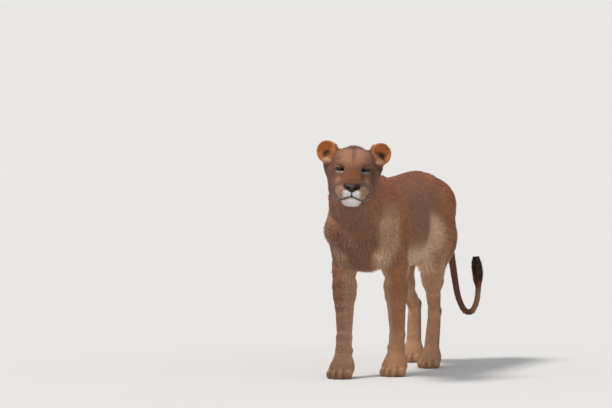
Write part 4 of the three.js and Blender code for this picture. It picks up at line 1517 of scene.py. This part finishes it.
class CoatOperator(bpy.types.Operator):
    """Lay the short coat over the skin in pieces, tuft by tuft"""

    bl_idname = "lioness.coat"
    bl_label = "Coat"

    def execute(self, context):
        net = body_net()
        sizes = context.scene.lioness_sizes
        colours = palette(context.scene.lioness_colours)
        rng = np.random.default_rng(COAT_SEED)
        count = sizes.tuft_count // 1
        cover = TuftSizes(net.points, net.normals, sizes).cover
        roots, normals = scatter(net, count, cover, rng)
        names = coat_piece_of(roots)
        for name in np.unique(names):
            some = names == name
            self.lay(str(name), roots[some], normals[some], sizes, colours, rng)
        return {"FINISHED"}

    def lay(self, name, roots, normals, sizes, colours, rng):
        count = len(roots)
        triangles = 3 * (2 * TUFT_RINGS - 1) * count
        if triangles > MOST_TRIANGLES:
            raise RuntimeError(f"{name} would have {triangles} triangles")
        size = TuftSizes(roots, normals, sizes)
        ways = lie_of(roots, normals)
        sides = np.cross(normals, ways)
        turn = rng.normal(0, TUFT_TURN, count)[:, None]
        ways = unit(ways + sides * turn)
        lengths = size.length * rng.uniform(0.7, 1.25, count)
        widths = size.width * rng.uniform(0.7, 1.3, count)
        lift = np.radians(size.lift * rng.uniform(0.5, 1.5, count))
        sways = lengths * rng.normal(0, 0.08, count)
        lines = lying_lines(roots, normals, ways, lengths, lengths * np.sin(lift), sways, TUFT_RINGS)
        lines[:, :, 2] = np.maximum(lines[:, :, 2], SOLE_LEVEL)
        strands = Strands(lines, normals, widths)
        base = markings(roots, normals, colours) * rng.normal(1, 0.09, (count, 1))
        base = base * (1 + rng.normal(0, 0.03, (count, 3)))
        shade = np.repeat(np.clip(base, 0, 1), strands.each, 0)
        # darker roots as painted shade, lighter towards the tips
        shade *= (ROOT_PAINTED_SHADE + (TIP_SHADE - ROOT_PAINTED_SHADE) * strands.shares())[:, None]
        uv = strands.patch_uv(Unwrap(roots, normals)(roots, normals))
        piece = new_piece(name, strands.points, strands.triangles, np.clip(shade, 0, 1), uv)
        piece.data.materials.append(coat_material())


class TailTuftOperator(bpy.types.Operator):
    """Gather long dark locks at the tip of the tail"""

    bl_idname = "lioness.tail_tuft"
    bl_label = "Tail tuft"

    def execute(self, context):
        sizes = context.scene.lioness_sizes
        colours = palette(context.scene.lioness_colours)
        rng = np.random.default_rng(LOCK_SEED)
        rows = tail_line()[(TAIL_BARE_END - 1) * TAIL_STEPS :]
        keys = np.concatenate([[0], np.cumsum(length_of(np.diff(rows[:, :3], axis=0)))])
        count = sizes.tail_lock_count
        lengths = sizes.tail_lock_length / MM * rng.uniform(0.45, 1.1, count)
        start = rng.beta(1.0, 1.2, count) * (keys[-1] - 12)
        around = unit(rng.normal(0, 1, (count, 3)))
        spread = rng.uniform(0.25, 1.0, count) ** 0.6
        turned, lines = rng.normal(0, 0.35, count), []
        for ring in range(LOCK_RINGS + 1):
            share = ring / LOCK_RINGS
            key = np.minimum(start + lengths * share, keys[-1] + 3 * spread)
            place = np.stack([np.interp(key, keys, rows[:, axis]) for axis in range(3)], 1)
            past = np.maximum(key - keys[-1], 0)
            place[:, 2] += past
            full = np.interp(key, keys, np.minimum(rows[:, 3], WIDEST_LOCKS)) + 1.0
            along = unit(rows[-2, :3] - rows[1, :3])
            outward = unit(around - along * dot(around, along)[:, None])
            aside = np.cross(along[None], outward)
            out = LOCK_CORE * (1 - share) * 0.8 + full * spread * share**0.6
            lines.append(place + outward * out[:, None] + aside * (turned * out * share)[:, None])
        strands = Strands(np.stack(lines, 1), outward, rng.uniform(2.0, 3.8, count))
        colour = np.tile(colours["tuft"], (count, 1)) * rng.uniform(0.55, 1.9, (count, 1))
        brown = (rng.random(count) < 0.2) | (start < 10)
        colour[brown] = colours["back"] * rng.uniform(0.5, 0.9, (brown.sum(), 1))
        shade = np.repeat(colour, strands.each, 0)
        turn = np.arctan2(outward[:, 1], outward[:, 0]) / (2 * math.pi) + 0.5
        places = np.stack([turn, start / keys[-1]], 1).astype(np.float32)
        uv = strands.patch_uv(places)
        piece = new_piece("tail_tuft_locks", strands.points, strands.triangles, shade, uv)
        piece.data.materials.append(hair_material("Tail tuft hair", 0.5, 300.0, 0.4))
        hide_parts("tail_tuft")
        return {"FINISHED"}


class NoseOperator(bpy.types.Operator):
    """Build the leather of the nose over the skin"""

    bl_idname = "lioness.nose"
    bl_label = "Nose leather"

    def execute(self, context):
        corners = HEAD.world([(x, y, z) for x in (-44, 44) for y in (-146, -104) for z in (-104, -52)])
        low, high = corners.min(0), corners.max(0)
        lines = [graded(low[axis], ((high[axis], NOSE_STEP),), 1.0) for axis in range(3)]
        net = Net(Skin(), lines)
        head = HEAD.local(net.points)
        mask = nose_mask(head)
        kept = mask[net.quads].min(1) > 0.02
        used = np.unique(net.quads[kept])
        number = np.full(len(net.points), -1)
        number[used] = np.arange(len(used))
        lifted = net.points + net.normals * (2.0 * mask - 0.6)[:, None]
        colours = palette(context.scene.lioness_colours)
        shade = self.shade(head, colours["dark"], colours["nose_pink"])
        piece = new_piece("nose_leather", lifted[used], number[net.quads[kept]], shade[used])
        piece.data.materials.append(leather_material())
        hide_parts("nose")
        return {"FINISHED"}

    def shade(self, head, dark, pink):
        half = both_sides(head)
        middle = spot(half, (0, -130, -74), (15, 30, 11), 0.5)
        nostril = spot(half, (18, -134, -80), (15, 14, 11), 0.4)
        share = (0.14 + 0.62 * middle)[:, None] * (1 - 0.9 * nostril)[:, None]
        return dark + (pink - dark) * share


class EyesOperator(bpy.types.Operator):
    """Build both eyeballs with iris, pupil and wet surface"""

    bl_idname = "lioness.eyes"
    bl_label = "Eyes"

    def execute(self, context):
        colours = palette(context.scene.lioness_colours)
        material = eye_material()
        for side, name in zip(SIDES, ("right", "left")):
            centre = HEAD.world((side * EYE_AT[0], EYE_AT[1], EYE_AT[2]))
            points, faces, angle = self.ball()
            world = centre + (points * self.radius(angle)[:, None]) @ HEAD.axes.T
            piece = new_piece(f"eyeball_{name}", world, faces, self.shade(angle, colours))
            piece.data.materials.append(material)
            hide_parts(f"eye_{name}")
        return {"FINISHED"}

    def ball(self):
        """A unit ball whose rings are spaced round the gaze, which looks along -Y."""
        rings, turns = EYE_RINGS, EYE_TURNS
        angle = np.repeat(np.linspace(0.012, math.pi - 0.012, rings), turns)
        turn = np.tile(np.arange(turns) / turns * 2 * math.pi, rings)
        wide = np.sin(angle)
        points = np.stack([wide * np.cos(turn), -np.cos(angle), wide * np.sin(turn)], 1)
        ring, step = np.meshgrid(np.arange(rings - 1), np.arange(turns), indexing="ij")
        a = (ring * turns + step).ravel()
        b = (ring * turns + (step + 1) % turns).ravel()
        faces = np.stack([a, b, b + turns, a + turns], 1)
        return points.astype(np.float32), faces, angle.astype(np.float32)

    def radius(self, angle):
        """The cornea bulges a little over the iris."""
        return EYE_RADIUS - 0.6 + 1.2 * (1 - smooth(angle, 0.35, 0.75))

    def shade(self, angle, colours):
        # the iris colour is darkened as painted shade under the brow
        iris, dark = colours["iris"], colours["dark"]
        across = np.sin(angle) * EYE_RADIUS
        front = angle < math.pi / 2
        shade = np.tile(dark * 2.2, (len(angle), 1))
        ring = (1 - smooth(across, 9.2, 10.6)) * front
        shade += (iris - shade) * ring[:, None]
        inner = (1 - smooth(across, 3.5, 7.5)) * front
        shade += (iris * 0.55 - shade) * (inner * 0.8)[:, None]
        pupil = (1 - smooth(across, 2.7, 3.5)) * front
        return shade + (dark * 0.2 - shade) * pupil[:, None]


class WhiskersOperator(bpy.types.Operator):
    """Root the whiskers in rows on the lips"""

    bl_idname = "lioness.whiskers"
    bl_label = "Whiskers"

    def execute(self, context):
        sizes = context.scene.lioness_sizes
        rng = np.random.default_rng(WHISKER_SEED)
        roots, ways, lengths = [], [], []
        for side in SIDES:
            for row in range(WHISKER_ROWS):
                for share in np.linspace(0, 1, WHISKERS_IN_ROW):
                    drop = -91 - 9.5 * row
                    roots.append((side * (27 + 29 * share), -124 + 34 * share, drop + rng.normal(0, 1)))
                    ahead, down = -0.5 + 0.7 * share, -0.1 - 0.14 * row + 0.1 * share
                    ways.append((side * (1.0 + 0.2 * share), ahead, down))
                    length = sizes.whisker_length / MM * (0.45 + 0.55 * share)
                    lengths.append(length * rng.uniform(0.75, 1.05))
        ways = unit(np.array(ways, np.float32)) @ HEAD.axes.T
        roots = HEAD.world(np.array(roots, np.float32)) - ways * 6
        normals = unit(np.cross(ways, np.tile(vec(0, 0, 1), (len(ways), 1))))
        normals = unit(np.cross(normals, ways))
        lengths = np.array(lengths, np.float32)
        count = len(roots)
        widths = np.full(count, WHISKER_WIDTH, np.float32)
        droop = -lengths * rng.uniform(0.08, 0.22, count)
        sways = rng.normal(0, 4, count)
        lines = lying_lines(roots, normals, ways, lengths, droop, sways, WHISKER_RINGS)
        strands = Strands(lines, normals, widths)
        shade = np.tile(palette(context.scene.lioness_colours)["white"], (len(strands.points), 1))
        piece = new_piece("whiskers", strands.points, strands.triangles, shade)
        piece.data.materials.append(hair_material("Whisker", 0.4, 200.0, 0.1))
        return {"FINISHED"}


# ------------------------------------------------------------------ floor, light and camera
class StageOperator(bpy.types.Operator):
    """Lay the floor, hang the lights and set the camera"""

    bl_idname = "lioness.stage"
    bl_label = "Floor, light and camera"

    def execute(self, context):
        self.floor()
        self.lights(context)
        self.camera(context)
        return {"FINISHED"}

    def floor(self):
        mesh = bpy.data.meshes.new("floor")
        corners = [(x * FLOOR_SIDE, y * FLOOR_SIDE, 0) for x, y in ((-1, -1), (1, -1), (1, 1), (-1, 1))]
        mesh.from_pydata(corners, [], [(0, 1, 2, 3)])
        floor = bpy.data.objects.new("floor", mesh)
        bpy.context.scene.collection.objects.link(floor)
        mesh.materials.append(floor_material())

    def lights(self, context):
        world = bpy.data.worlds.new("Soft studio")
        world.use_nodes = True
        background = world.node_tree.nodes["Background"]
        background.inputs["Color"].default_value = WORLD_COLOUR
        background.inputs["Strength"].default_value = WORLD_STRENGTH
        context.scene.world = world
        context.scene.view_settings.view_transform = "Standard"
        for name, way, angle, strength, colour in LAMPS:
            data = bpy.data.lights.new(name, "SUN")
            data.angle = math.radians(angle)
            data.energy = strength
            data.color = colour
            lamp = bpy.data.objects.new(name, data)
            lamp.location = (0, 0, 4)
            lamp.rotation_mode = "QUATERNION"
            lamp.rotation_quaternion = Vector(way).to_track_quat("-Z", "Y")
            context.scene.collection.objects.link(lamp)

    def camera(self, context):
        turn, rise = math.radians(VIEW_TURN), math.radians(VIEW_RISE)
        right = np.array((math.cos(turn), math.sin(turn), 0))
        lean = math.sin(rise)
        up = np.array((-lean * math.sin(turn), lean * math.cos(turn), math.cos(rise)))
        back = np.cross(right, up)
        aim = offset() + right * AIM_ASIDE + up * AIM_UP
        data = bpy.data.cameras.new("camera")
        data.lens = VIEW_LENS
        data.clip_start, data.clip_end = 1.0, 900.0
        camera = bpy.data.objects.new("camera", data)
        camera.location = aim + back * VIEW_DISTANCE
        camera.rotation_mode = "QUATERNION"
        camera.rotation_quaternion = Vector(-back).to_track_quat("-Z", "Y")
        context.scene.collection.objects.link(camera)
        context.scene.camera = camera


class LionessPanel(bpy.types.Panel):
    """Lists the steps that build the lioness, with her sizes and colours"""

    bl_idname = "VIEW3D_PT_lioness"
    bl_label = "Lioness"
    bl_space_type = "VIEW_3D"
    bl_region_type = "UI"
    bl_category = "Lioness"

    def draw(self, context):
        for group in (context.scene.lioness_sizes, context.scene.lioness_colours):
            box = self.layout.box()
            for name in group.__annotations__:
                box.prop(group, name)
        for operator in OPERATORS:
            self.layout.operator(operator.bl_idname)


OPERATORS = (
    StageOperator,
    SkinOperator,
    NoseOperator,
    EyesOperator,
    WhiskersOperator,
    CoatOperator,
    TailTuftOperator,
)
CLASSES = (LionessSizes, LionessColours, *OPERATORS, LionessPanel)


def register():
    for cls in CLASSES:
        bpy.utils.register_class(cls)
    bpy.types.Scene.lioness_sizes = bpy.props.PointerProperty(type=LionessSizes)
    bpy.types.Scene.lioness_colours = bpy.props.PointerProperty(type=LionessColours)


def unregister():
    del bpy.types.Scene.lioness_colours
    del bpy.types.Scene.lioness_sizes
    for cls in reversed(CLASSES):
        bpy.utils.unregister_class(cls)


def main():
    register()
    bpy.ops.lioness.stage()
    bpy.ops.lioness.skin()
    bpy.ops.lioness.nose()
    bpy.ops.lioness.eyes()
    bpy.ops.lioness.whiskers()
    bpy.ops.lioness.coat()
    bpy.ops.lioness.tail_tuft()


if __name__ == "__main__":
    main()
